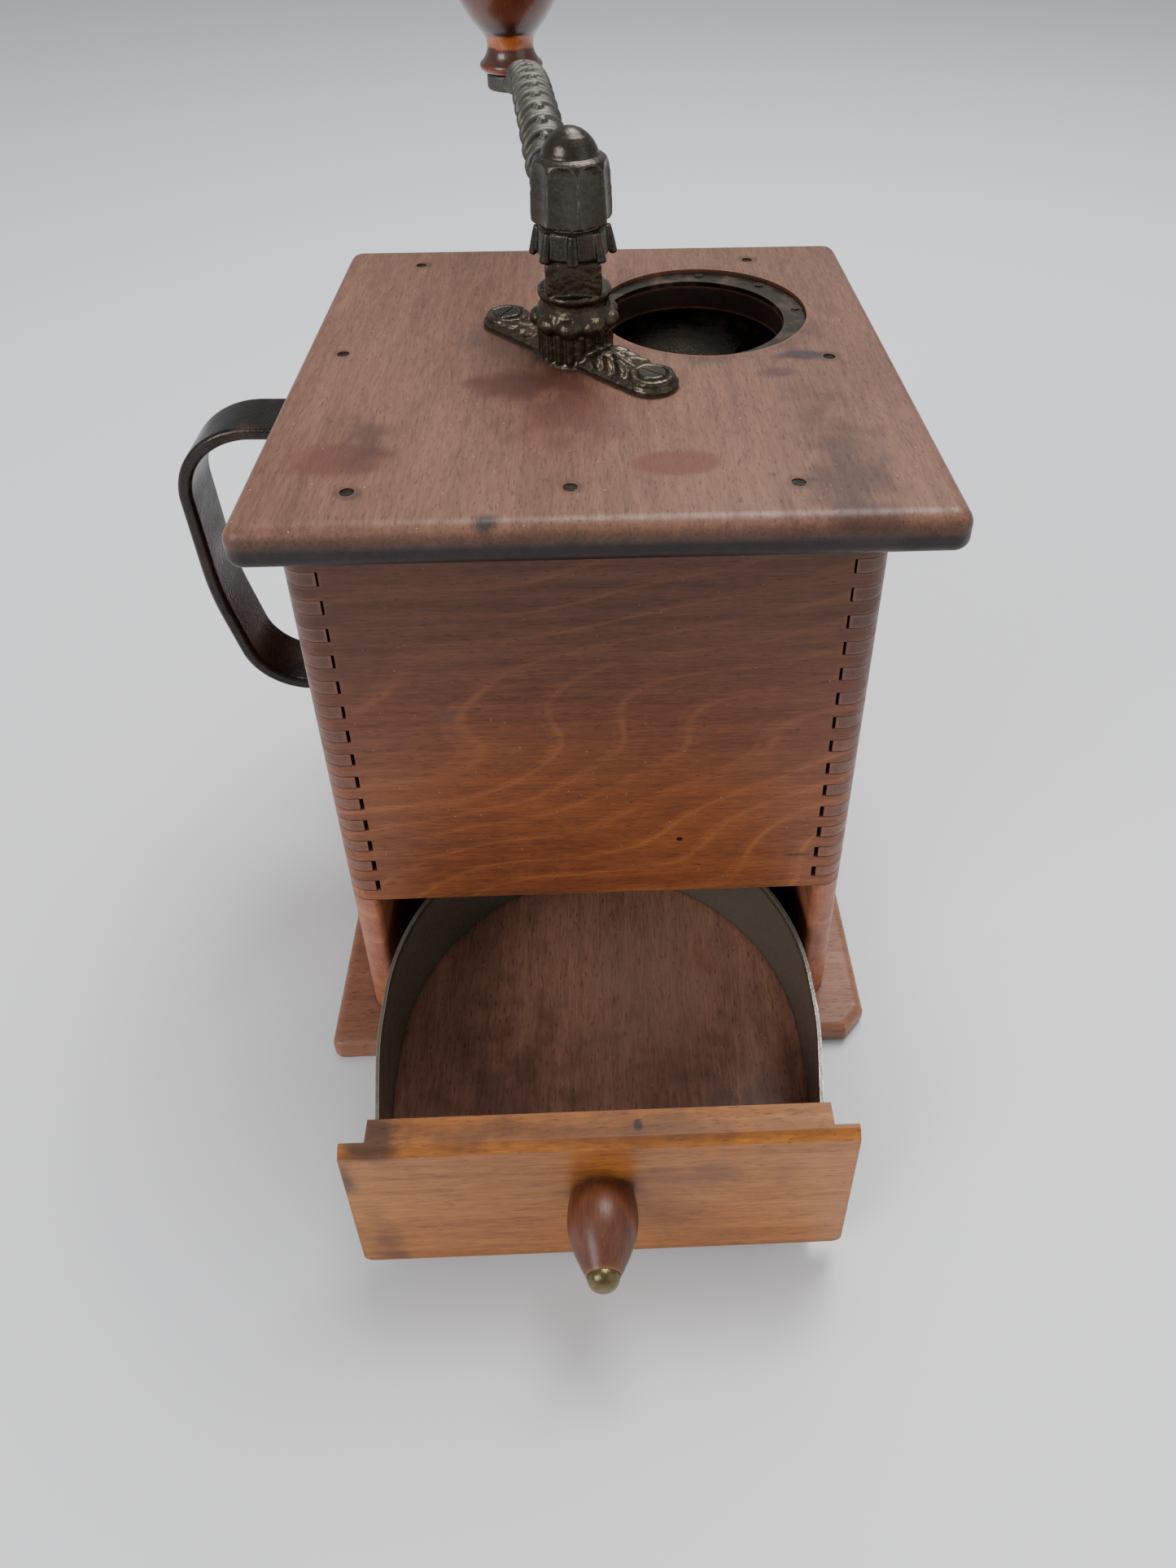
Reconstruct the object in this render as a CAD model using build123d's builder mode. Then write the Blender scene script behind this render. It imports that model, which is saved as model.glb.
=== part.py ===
from build123d import *
from math import cos, pi, radians, sin
import os

# Hand crank coffee mill: a finger-jointed wooden box between a base board and a top board,
# an iron crank and burr set on a vertical spindle, a side handle and a half-round drawer.
# Millimetres. Origin: centre of the underside of the base. +X is right, +Y is back, +Z is up.

# ---- Box ----
case_width = 160.0
case_depth = 160.0
wall = 9.5
case_corner = 7.0
drawer_bay_height = 61.0
finger = 4.75
front_fingers = 30
finger_clearance = 0.1
socket_gap_top = 0.6
socket_gap_bottom = 1.5
foot_edge = 2.0

# ---- Base and top boards ----
base_margin = 12.5
base_thick = 8.2
base_edge = 3.2
base_plan_corner = 4.0
worn_corner = 7.0
top_overhang = 12.0
top_thick = 11.8
top_edge = 4.6
top_plan_corner = 5.0
top_shift = 3.6

# ---- Bean hole and its ring ----
hole_x = 36.3
hole_y = 29.2
hole_radius = 30.0
rebate_radius = 35.0
rebate_shift = 2.9
rebate_depth = 3.2
ring_thick = 1.7
ring_fit = 0.1
ring_edge = 0.3
ring_nail_angles = (5.0, 45.0, 85.0)
ring_nail_out = 0.6

# ---- Nails and screws ----
nail_radius = 1.2
nail_head_radius = 1.9
nail_length = 26.0
nail_sink = 0.4
nail_head_thick = 1.2
front_nails = (-60.0, -4.0, 54.0)
back_nails = (-60.0, -4.0, 60.0)
left_nail = 3.0
right_nail = -5.0
pin_fit = 0.02
base_screw_radius = 1.8
base_screw_head = 3.6
base_screw_length = 24.0
base_screw_reach = 50.0

# ---- Spindle and bracket ----
spindle_x = -2.8
spindle_y = 0.2
spindle_radius = 4.5
running_fit = 0.05
tower_radius = 11.0
tower_height = 8.0
bulb_radius = 12.9
bulb_height = 11.5
bulb_edge = 0.9
bulb_swell = 1.0
bulb_lobes = 9
lobe_cut_radius = 2.0
lobe_cut_out = 1.9
collar_radius = 10.7
collar_height = 4.0
collar_edge = 0.8
collar_neck = 1.2
block_width = 17.2
block_height = 9.4
block_edge = 1.4
block_top_edge = 0.8
flutes = 14
flute_radius = 1.3
flute_out = 0.7
flute_land = 0.6
ear_reach = 31.5
ear_tip_radius = 8.0
ear_thick = 2.8
ear_boss_radius = 6.2
ear_boss_height = 4.4
ear_boss_taper = 1.2
ear_boss_recess = 1.2
ear_boss_fit = 0.1
ear_web = 2.5
ear_edge = 0.9
ear_angle = 135.0
bracket_shank = 7.5
bracket_screw_radius = 2.2
bracket_screw_head = 4.3
bracket_screw_length = 13.0
bracket_screw_turns = (-38.0, 62.0)
screw_head_thick = 1.6
slot_width = 0.8

# ---- Regulating nut and washer ----
nut_height = 9.2
nut_top_radius = 10.8
nut_flare_radius = 13.5
nut_core_radius = 10.6
nut_ribs = 8
nut_rib_width = 3.2
nut_edge = 0.6
stack_gap = 0.1
washer_radius = 9.0
washer_thick = 0.9

# ---- Crank ----
crank_angle = 100.7
crank_throw = 125.0
hub_bottom_radius = 12.0
hub_shoulder_radius = 10.4
hub_skirt = 18.6
hub_dome = 8.2
hub_dome_radius = 9.2
hub_ledge = 0.6
hub_faces = 8
hub_hollow_radius = 9.0
hub_hollow_depth = 1.2
hub_socket = 15.0
arm_root_rise = 0.31
arm_rise = 21.2
arm_bow = 3.8
arm_root_width = 13.5
arm_root_thick = 9.6
arm_tip_width = 9.0
arm_tip_thick = 5.6
arm_sections = 10
eye_radius = 9.5
eye_thick = 6.0
eye_drop = 4.0
hub_pin_radius = 1.5
hub_pin_rise = 7.0
hub_foot_edge = 0.8
hub_foot = 2.4

# ---- Crank knob ----
knob_ring_radius = 11.8
knob_neck_radius = 8.6
knob_neck_height = 9.4
knob_radius = 19.5
knob_height = 48.0
knob_pin_radius = 2.6
knob_pin_head = 4.6
knob_gap = 0.5
knob_ring_edge = 1.6
knob_ring_side = 1.0
knob_neck_edge = 0.8
knob_crown = 0.34
pin_recess = 2.6
rivet_thick = 1.2
pin_cap_thick = 1.6

# ---- Hopper and burrs ----
hopper_wall = 1.2
hopper_fit = 0.3
hopper_rim = 4.0
hopper_mouth_drop = 0.3
hopper_neck = 44.0
hopper_lap = 0.4
hopper_depth = 45.0
tack_radius = 0.9
tack_length = 6.0
tack_head_radius = 1.4
tack_head_thick = 0.5
tack_spread = 40.0
tack_drop = 2.0
shell_flange = 64.0
shell_flange_thick = 3.0
shell_radius = 34.0
shell_flange_corner = 5.0
shell_waist = 2.5
shell_height = 29.0
throat_radius = 20.0
throat_height = 4.0
burr_mouth_radius = 28.8
burr_gap = 1.5
cone_height = 21.0
burr_teeth = 12
burr_groove = 2.0
shell_screw_radius = 1.8
shell_screw_reach = 27.0
shell_screw_head = 3.2
bridge_width = 12.0
bridge_thick = 5.0
bridge_drop = 15.0
bridge_screw_radius = 1.4
bridge_screw_head = 2.5
bridge_screw_bite = 6.0
bridge_inset = 0.3
bridge_boss_height = 2.4
cone_pin_radius = 1.5
cone_pin_rise = 5.0
cone_foot_gap = 1.5
spindle_edge = 0.5
spindle_tail = 2.0

# ---- Side handle ----
handle_width = 21.0
handle_thick = 4.5
handle_top_drop = 8.5
handle_bottom_drop = 116.0
handle_reach = 48.0
handle_plate_thick = 3.5
handle_plate_length = 27.0
handle_plate_width = 24.0
handle_top_screws = (10.0, 20.5)
handle_bottom_screws = (8.0, 20.0)
handle_root = 1.0
handle_top_rake = 2.5
handle_belly_drop = 9.0
handle_bottom_rake = 9.5
handle_overrun = 3.0
handle_bends = (24, 110, 22)
handle_edge = 1.7
handle_plate_edge = 1.2
handle_screw_radius = 2.0
handle_screw_head = 4.0
handle_screw_length = 11.0

# ---- Drawer ----
drawer_open = 77.0
drawer_side_gap = 0.75
drawer_foot_gap = 0.2
drawer_head_gap = 0.8
drawer_front_thick = 9.0
drawer_lip = 3.2
drawer_rabbet = 6.8
drawer_depth = 124.0
drawer_floor_thick = 7.0
floor_fit = 0.1
band_thick = 0.6
band_setback = 0.3
band_height = 42.0
band_swell = 4.0
band_flare_share = 0.7166
drawer_bevel = 2.2
drawer_corner = 3.0
drawer_nail_radius = 0.7
drawer_nail_head = 1.26
drawer_nail_head_thick = 0.4
drawer_nail_rises = (8.0, 20.0, 34.0)
drawer_nail_length = 5.0
floor_screw_x = 4.0
floor_screw_radius = 1.5
floor_screw_head_thick = 1.3
floor_screw_head = 3.0
floor_screw_length = 13.0
floor_screw_sink = 0.9
floor_screw_lean = -65.0
floor_screw_inset = 5.0
drawer_knob_radius = 9.7
drawer_knob_base = 8.7
drawer_knob_length = 20.0
drawer_knob_rise = 5.0
drawer_knob_screw = 2.0
knob_screw_stop = 1.0
brass_tip_radius = 4.4
brass_tip_land = 0.3
brass_tip_height = 3.4

# ---- Levels worked out from the sizes above ----
base_top = base_thick
bay_top = base_top + drawer_bay_height
case_top = bay_top + finger * front_fingers
board_top = case_top + top_thick
base_width = case_width + 2 * base_margin
base_depth = case_depth + 2 * base_margin
half_w = case_width / 2
half_d = case_depth / 2
inner_w = half_w - wall
tower_top = board_top + tower_height
bulb_top = tower_top + bulb_height
collar_top = bulb_top + collar_height
block_top = collar_top + block_height
nut_bottom = block_top + stack_gap
nut_top = nut_bottom + nut_height
washer_bottom = nut_top + stack_gap
hub_bottom = washer_bottom + washer_thick + stack_gap
hub_shoulder = hub_bottom + hub_skirt
hub_top = hub_shoulder + hub_dome
mouth_top = case_top - hopper_mouth_drop
neck_bottom = mouth_top - hopper_depth
shell_top = neck_bottom
shell_bottom = shell_top - shell_height
throat_bottom = shell_top - throat_height
burr_slope = (burr_mouth_radius - throat_radius) / (throat_bottom - shell_bottom)
cone_bottom = shell_bottom + cone_foot_gap
cone_top = cone_bottom + cone_height
bridge_bottom = shell_bottom - bridge_drop
spindle_bottom = bridge_bottom - spindle_tail
spindle_top = hub_bottom + hub_socket
wall_mid_x = half_w - wall / 2
wall_mid_y = half_d - wall / 2

os.makedirs("parts", exist_ok=True)


def save(part, name):
    part.label = name
    export_step(part, "parts/" + name + ".step")


def slotted_screw(shank, head, head_high, length):
    """A screw pointing down, its head's underside at z 0, with a driver slot."""
    with BuildPart() as screw:
        Cylinder(shank, length, align=(Align.CENTER, Align.CENTER, Align.MAX))
        Cylinder(head, head_high, align=(Align.CENTER, Align.CENTER, Align.MIN))
        fillet(screw.edges().group_by(Axis.Z)[-1], head_high * 0.45)
        with Locations((0, 0, head_high)):
            Box(2.2 * head, slot_width, head_high, mode=Mode.SUBTRACT)
    return screw.part


def countersunk_screw(shank, head, length):
    """A flat-headed screw pointing down, its head's top at z 0."""
    cone = head - shank
    with BuildPart() as screw:
        with BuildSketch(Plane.XZ):
            with BuildLine():
                Polyline((0, 0), (head, 0), (shank, -cone), (shank, -length), (0, -length), close=True)
            make_face()
        revolve(axis=Axis.Z)
        Box(2.2 * head, slot_width, 2 * slot_width, mode=Mode.SUBTRACT)
    return screw.part


def burr_radius(z):
    """Inside radius of the grinding shell at a height below its throat."""
    return throat_radius + (throat_bottom - z) * burr_slope


# Fingers are counted upwards from the front panel's lower edge. Even ones belong to the front
# and back panels, odd ones to the sides. The back corners carry the count on down to the base.
def finger_level(k):
    return bay_top + k * finger


fingers_below = int(drawer_bay_height / finger) + 1
front_sockets = [k for k in range(front_fingers) if k % 2]
back_sockets = [k for k in range(-fingers_below, front_fingers) if k % 2]
front_ends = [k for k in range(front_fingers) if k % 2 == 0]
back_ends = [k for k in range(-fingers_below, front_fingers) if k % 2 == 0]


def socket_gap(k):
    """Sockets are cut a little deeper than the fingers that fill them, more so lower down."""
    return socket_gap_bottom + (socket_gap_top - socket_gap_bottom) * max(k, 0) / front_fingers


# ---- Base board: one plank with rounded edges and one worn front corner ----
with BuildPart() as base_board:
    with BuildSketch():
        RectangleRounded(base_width, base_depth, base_plan_corner)
        with Locations((base_width / 2, -base_depth / 2)):
            Rectangle(worn_corner * 1.5, worn_corner * 1.5, rotation=45, mode=Mode.SUBTRACT)
    extrude(amount=base_thick)
    fillet(base_board.faces().sort_by(Axis.Z)[-1].edges(), base_edge)
    fillet(base_board.faces().sort_by(Axis.Z)[0].edges(), base_edge * 0.6)
    base_screw_spots = [
        (sx * wall_mid_x, sy * base_screw_reach) for sx in (-1, 1) for sy in (-1, 1)
    ] + [(sx * base_screw_reach * 0.6, wall_mid_y) for sx in (-1, 1)]
    with Locations(*[Pos(x, y, 0) * Rot(180, 0, 0) for x, y in base_screw_spots]):
        CounterSinkHole(base_screw_radius + pin_fit, base_screw_head + pin_fit, counter_sink_angle=90)
save(base_board.part, "base_board")

base_screw = countersunk_screw(base_screw_radius, base_screw_head, base_screw_length)
with BuildPart() as base_screws:
    for x, y in base_screw_spots:
        add(Pos(x, y, 0) * Rot(180, 0, 0) * base_screw)
save(base_screws.part, "base_screws")

# ---- Nails that hold the top board to the four walls ----
nail_spots = [(x, -wall_mid_y) for x in front_nails]
nail_spots += [(x, wall_mid_y) for x in back_nails]
nail_spots += [(-wall_mid_x, left_nail), (wall_mid_x, right_nail)]
nail_head_top = board_top - nail_sink


def cut_nail_holes():
    """Holes for the top nails and the base screws in the piece being built."""
    with Locations(*[(x, y, nail_head_top) for x, y in nail_spots]):
        Cylinder(nail_radius + pin_fit, nail_length + pin_fit,
                 align=(Align.CENTER, Align.CENTER, Align.MAX), mode=Mode.SUBTRACT)
    with Locations(*[(x, y, 0) for x, y in base_screw_spots]):
        Cylinder(base_screw_radius + pin_fit, base_screw_length + pin_fit,
                 align=(Align.CENTER, Align.CENTER, Align.MIN), mode=Mode.SUBTRACT)


with BuildPart() as top_nails:
    with Locations(*[(x, y, nail_head_top) for x, y in nail_spots]):
        Cylinder(nail_radius, nail_length, align=(Align.CENTER, Align.CENTER, Align.MAX))
        Cylinder(nail_head_radius, nail_head_thick, align=(Align.CENTER, Align.CENTER, Align.MAX))
save(top_nails.part, "top_nails")


# The four walls are rounded together at the upright corners, so each is kept inside one outline.
with BuildPart() as case_outline:
    with BuildSketch(Plane.XY.offset(base_top)):
        RectangleRounded(case_width, case_depth, case_corner)
    extrude(amount=case_top - base_top)


# ---- Left and right sides: full-height boards with fingers at both ends ----
handle_screw_spots = [case_top - handle_top_drop - down for down in handle_top_screws]
handle_screw_spots += [case_top - handle_bottom_drop + up for up in handle_bottom_screws]


def build_side(sign):
    with BuildPart() as side:
        with Locations((sign * wall_mid_x, 0, base_top)):
            Box(wall, case_depth, case_top - base_top, align=(Align.CENTER, Align.CENTER, Align.MIN))
        for k in front_ends:
            with Locations((sign * wall_mid_x, -half_d, finger_level(k) - finger_clearance)):
                Box(wall + 1, 2 * wall, finger + 2 * finger_clearance,
                    align=(Align.CENTER, Align.CENTER, Align.MIN), mode=Mode.SUBTRACT)
        for k in back_ends:
            with Locations((sign * wall_mid_x, half_d, finger_level(k) - finger_clearance)):
                Box(wall + 1, 2 * wall, finger + 2 * finger_clearance,
                    align=(Align.CENTER, Align.CENTER, Align.MIN), mode=Mode.SUBTRACT)
        add(case_outline.part, mode=Mode.INTERSECT)
        cut_nail_holes()
        with Locations(*[(sign * inner_w, y, mouth_top - tack_drop) for y in (-tack_spread, tack_spread)]):
            Cylinder(tack_radius + pin_fit, 2 * tack_length, rotation=(0, 90, 0), mode=Mode.SUBTRACT)
        if sign < 0:
            with Locations(*[(-half_w, 0, z) for z in handle_screw_spots]):
                Cylinder(handle_screw_radius + pin_fit,
                         2 * (handle_screw_length - handle_plate_thick) + pin_fit,
                         rotation=(0, 90, 0), mode=Mode.SUBTRACT)
        inner_front = side.edges().filter_by(Axis.Z).filter_by(
            lambda e: abs(abs(e.center().X) - inner_w) < 0.01 and e.center().Y < -half_d + 0.01)
        foot = [e for e in inner_front if e.length > drawer_bay_height - 1]
        if foot:
            fillet(foot, foot_edge)
    return side.part


for sign, name in ((-1, "left_side"), (1, "right_side")):
    save(build_side(sign), name)


# ---- Front and back panels ----
def build_panel(sign, bottom, sockets):
    with BuildPart() as panel:
        with Locations((0, sign * wall_mid_y, bottom)):
            Box(case_width, wall, case_top - bottom, align=(Align.CENTER, Align.CENTER, Align.MIN))
        for k in sockets:
            depth = wall + socket_gap(k)
            low = max(finger_level(k), bottom)
            for side in (-1, 1):
                with Locations((side * (half_w - depth / 2), sign * wall_mid_y, low)):
                    Box(depth, wall + 1, finger_level(k + 1) - low,
                        align=(Align.CENTER, Align.CENTER, Align.MIN), mode=Mode.SUBTRACT)
        add(case_outline.part, mode=Mode.INTERSECT)
        cut_nail_holes()
    return panel.part


front_panel = build_panel(-1, bay_top, front_sockets)
save(front_panel, "front_panel")
back_panel = build_panel(1, base_top, back_sockets)
save(back_panel, "back_panel")

# ---- Top board, with the rebated bean hole, the spindle hole and the nail holes ----
ear_direction = (cos(radians(ear_angle)), sin(radians(ear_angle)))
ear_spots = [(spindle_x + s * ear_reach * ear_direction[0], spindle_y + s * ear_reach * ear_direction[1])
             for s in (-1, 1)]
screw_seat = board_top + ear_boss_height - ear_boss_recess
rebate_x = hole_x + rebate_shift
rebate_y = hole_y + rebate_shift
ring_top = board_top - rebate_depth + ring_thick
ring_nail_arc = (hole_radius + rebate_radius) / 2 + ring_nail_out
ring_nail_spots = [
    (hole_x + rebate_shift * 0.7 + ring_nail_arc * cos(radians(angle)),
     hole_y + rebate_shift * 0.7 + ring_nail_arc * sin(radians(angle))) for angle in ring_nail_angles]
with BuildPart() as top_board:
    with BuildSketch(Plane.XY.offset(case_top)):
        with Locations((top_shift, 0)):
            RectangleRounded(case_width + 2 * top_overhang, case_depth + 2 * top_overhang, top_plan_corner)
    extrude(amount=top_thick)
    fillet(top_board.faces().sort_by(Axis.Z)[-1].edges(), top_edge)
    fillet(top_board.faces().sort_by(Axis.Z)[0].edges(), top_edge * 0.7)
    with Locations((rebate_x, rebate_y, board_top)):
        Cylinder(rebate_radius, 2 * rebate_depth, mode=Mode.SUBTRACT)
    with Locations((hole_x, hole_y, case_top)):
        Cylinder(hole_radius, 3 * top_thick, mode=Mode.SUBTRACT)
    with Locations((spindle_x, spindle_y, case_top)):
        Cylinder(bracket_shank + pin_fit, 3 * top_thick, mode=Mode.SUBTRACT)
    with Locations(*[(x, y, nail_head_top) for x, y in nail_spots]):
        Cylinder(nail_radius + pin_fit, nail_length + pin_fit,
                 align=(Align.CENTER, Align.CENTER, Align.MAX), mode=Mode.SUBTRACT)
        Cylinder(nail_head_radius + pin_fit, nail_head_thick + pin_fit,
                 align=(Align.CENTER, Align.CENTER, Align.MAX), mode=Mode.SUBTRACT)
        Cylinder(nail_head_radius + pin_fit, 2 * nail_sink, align=(Align.CENTER, Align.CENTER, Align.MIN),
                 mode=Mode.SUBTRACT)
    with Locations(*[(x, y, board_top) for x, y in ear_spots]):
        Cylinder(bracket_screw_radius + pin_fit,
                 2 * (bracket_screw_length - ear_boss_height + ear_boss_recess) + pin_fit, mode=Mode.SUBTRACT)
    with Locations(*[(x, y, ring_top) for x, y in ring_nail_spots]):
        Cylinder(tack_radius + pin_fit, 2 * tack_length + pin_fit, mode=Mode.SUBTRACT)
save(top_board.part, "top_board")

with BuildPart() as fill_ring:
    with Locations((rebate_x, rebate_y, board_top - rebate_depth)):
        Cylinder(rebate_radius - ring_fit, ring_thick, align=(Align.CENTER, Align.CENTER, Align.MIN))
    with Locations((hole_x, hole_y, board_top)):
        Cylinder(hole_radius, 2 * top_thick, mode=Mode.SUBTRACT)
    with Locations(*[(x, y, ring_top) for x, y in ring_nail_spots]):
        Cylinder(tack_radius + pin_fit, 2 * tack_length, mode=Mode.SUBTRACT)
    fillet(fill_ring.edges().filter_by(GeomType.CIRCLE).group_by(Axis.Z)[-1].filter_by(
        lambda e: e.radius > hole_radius + 1), ring_edge)
save(fill_ring.part, "fill_ring")

with BuildPart() as ring_nails:
    with Locations(*[(x, y, ring_top) for x, y in ring_nail_spots]):
        Cylinder(tack_radius, tack_length, align=(Align.CENTER, Align.CENTER, Align.MAX))
        Cylinder(tack_head_radius, tack_head_thick, align=(Align.CENTER, Align.CENTER, Align.MIN))
save(ring_nails.part, "ring_nails")

# ---- Spindle bracket: fluted tower, scalloped bulb, collar and square block, with two ears ----
with BuildPart() as spindle_bracket:
    with BuildSketch(Plane.XY.offset(board_top)):
        with Locations((spindle_x, spindle_y)):
            SlotCenterToCenter(2 * ear_reach, 2 * ear_tip_radius * 0.9, rotation=ear_angle)
            Circle(tower_radius + ear_web)
    extrude(amount=ear_thick)
    chamfer(spindle_bracket.edges().group_by(Axis.Z)[-1], ear_edge)
    with Locations(*[(x, y, board_top) for x, y in ear_spots]):
        Cone(ear_boss_radius + ear_boss_taper, ear_boss_radius, ear_boss_height,
             align=(Align.CENTER, Align.CENTER, Align.MIN))
    for x, y in ear_spots:
        with Locations(Pos((x + spindle_x) / 2, (y + spindle_y) / 2, board_top + ear_thick)
                       * Rot(0, 0, ear_angle)):
            Cylinder(ear_thick * 0.75, ear_reach * 0.72, rotation=(0, 90, 0))
    with Locations((spindle_x, spindle_y, board_top)):
        Cylinder(tower_radius, tower_height + 1, align=(Align.CENTER, Align.CENTER, Align.MIN))
    with BuildSketch(Plane(origin=(spindle_x, spindle_y, 0), x_dir=(1, 0, 0), z_dir=(0, -1, 0))):
        with BuildLine():
            Polyline((0, tower_top), (tower_radius - collar_edge, tower_top),
                     (bulb_radius - bulb_edge, tower_top + 0.25 * bulb_height))
            ThreePointArc((bulb_radius - bulb_edge, tower_top + 0.25 * bulb_height),
                          (bulb_radius + bulb_swell, tower_top + 0.42 * bulb_height),
                          (bulb_radius - bulb_edge, tower_top + 0.6 * bulb_height))
            Polyline((bulb_radius - bulb_edge, tower_top + 0.6 * bulb_height),
                     (collar_radius - collar_neck, bulb_top),
                     (collar_radius, bulb_top + 0.25 * collar_height),
                     (collar_radius, collar_top - collar_edge),
                     (collar_radius - collar_edge, collar_top), (0, collar_top), (0, tower_top))
        make_face()
    revolve(axis=Axis((spindle_x, spindle_y, 0), (0, 0, 1)))
    with Locations((spindle_x, spindle_y, collar_top)):
        Box(block_width, block_width * 0.96, block_height, align=(Align.CENTER, Align.CENTER, Align.MIN))
    block_edges = spindle_bracket.edges().filter_by(Axis.Z).filter_by(
        lambda e: e.center().Z > collar_top and e.length > block_height - 1)
    chamfer(block_edges, block_edge)
    fillet(spindle_bracket.edges().group_by(Axis.Z)[-1], block_top_edge)
    with Locations((spindle_x, spindle_y, board_top + ear_thick + flute_land)):
        with PolarLocations(tower_radius + flute_out, flutes, start_angle=5):
            Cylinder(flute_radius, tower_height - ear_thick - 2 * flute_land,
                     align=(Align.CENTER, Align.CENTER, Align.MIN), mode=Mode.SUBTRACT)
    with Locations((spindle_x, spindle_y, tower_top + 0.45 * bulb_height)):
        with PolarLocations(bulb_radius + lobe_cut_out, bulb_lobes, start_angle=10):
            Cylinder(lobe_cut_radius, 0.7 * bulb_height, mode=Mode.SUBTRACT)
    with Locations((spindle_x, spindle_y, case_top)):
        Cylinder(bracket_shank, top_thick, align=(Align.CENTER, Align.CENTER, Align.MIN))
        Cylinder(spindle_radius + running_fit, 4 * block_top, mode=Mode.SUBTRACT)
    with Locations(*[(x, y, board_top) for x, y in ear_spots]):
        Cylinder(bracket_screw_radius + pin_fit, 3 * ear_boss_height, mode=Mode.SUBTRACT)
    with Locations(*[(x, y, screw_seat) for x, y in ear_spots]):
        Cylinder(bracket_screw_head + ear_boss_fit, ear_boss_height,
                 align=(Align.CENTER, Align.CENTER, Align.MIN), mode=Mode.SUBTRACT)
save(spindle_bracket.part, "spindle_bracket")

bracket_screw = slotted_screw(bracket_screw_radius, bracket_screw_head, screw_head_thick,
                              bracket_screw_length)
with BuildPart() as bracket_screws:
    for turn, (x, y) in zip(bracket_screw_turns, ear_spots):
        add(Pos(x, y, screw_seat) * Rot(0, 0, turn) * bracket_screw)
save(bracket_screws.part, "bracket_screws")

# ---- Regulating nut: a flared, ribbed ring threaded on the spindle under the crank ----
with BuildPart() as regulating_nut:
    with Locations((spindle_x, spindle_y, nut_bottom)):
        Cone(nut_flare_radius, nut_top_radius, nut_height, align=(Align.CENTER, Align.CENTER, Align.MIN))
        gap_width = 2 * nut_core_radius * sin(pi / nut_ribs) * 1.12 - nut_rib_width * 0.7
        for gap in range(nut_ribs):
            with Locations(Rot(0, 0, (gap + 0.5) * 360 / nut_ribs)):
                with Locations((nut_core_radius, 0, -0.5)):
                    Box(nut_flare_radius, gap_width, nut_height * 0.8,
                        align=(Align.MIN, Align.CENTER, Align.MIN), mode=Mode.SUBTRACT)
        Cylinder(spindle_radius + running_fit, 4 * nut_height, mode=Mode.SUBTRACT)
    fillet(regulating_nut.edges().group_by(Axis.Z)[-1].filter_by(
        lambda e: e.radius > spindle_radius + 1), nut_edge)
save(regulating_nut.part, "regulating_nut")

with BuildPart() as thrust_washer:
    with Locations((spindle_x, spindle_y, washer_bottom)):
        Cylinder(washer_radius, washer_thick, align=(Align.CENTER, Align.CENTER, Align.MIN))
        Cylinder(spindle_radius + running_fit, 4 * washer_thick, mode=Mode.SUBTRACT)
save(thrust_washer.part, "thrust_washer")

# ---- Spindle: one steel bar from the bridge to the crank hub ----
cone_pin_level = cone_bottom + cone_pin_rise
hub_pin_level = hub_bottom + hub_pin_rise
with BuildPart() as spindle:
    with Locations((spindle_x, spindle_y, spindle_bottom)):
        Cylinder(spindle_radius, spindle_top - spindle_bottom, align=(Align.CENTER, Align.CENTER, Align.MIN))
    chamfer(spindle.edges().filter_by(GeomType.CIRCLE), spindle_edge)
    with Locations((spindle_x, spindle_y, cone_pin_level)):
        Cylinder(cone_pin_radius + pin_fit, 4 * spindle_radius, rotation=(0, 90, 0), mode=Mode.SUBTRACT)
    with Locations(Pos(spindle_x, spindle_y, hub_pin_level) * Rot(0, 0, crank_angle + 90)):
        Cylinder(hub_pin_radius + pin_fit, 4 * spindle_radius, rotation=(0, 90, 0), mode=Mode.SUBTRACT)
save(spindle.part, "spindle")

# ---- Crank: domed hub with hollow faces, with an S-shaped arm that ends in the knob's eye ----
arm_out = (cos(radians(crank_angle)), sin(radians(crank_angle)), 0)
arm_side = (arm_out[1], -arm_out[0], 0)
eye_top = hub_shoulder - eye_drop
eye_mid = eye_top - eye_thick / 2
eye_x = spindle_x + crank_throw * arm_out[0]
eye_y = spindle_y + crank_throw * arm_out[1]
arm_root_z = hub_bottom + arm_root_rise * hub_skirt
hub_ledge_top = hub_shoulder + hub_ledge
dome_round = (hub_dome_radius ** 2 + (hub_top - hub_ledge_top) ** 2) / (2 * (hub_top - hub_ledge_top))


def arm_point(out, bow, up):
    """A point on the arm's middle line: a share of the throw, a share of the bow, and a level."""
    along, left = out * crank_throw, bow * arm_bow
    return (spindle_x + along * arm_out[0] - left * arm_side[0],
            spindle_y + along * arm_out[1] - left * arm_side[1], up)


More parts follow.
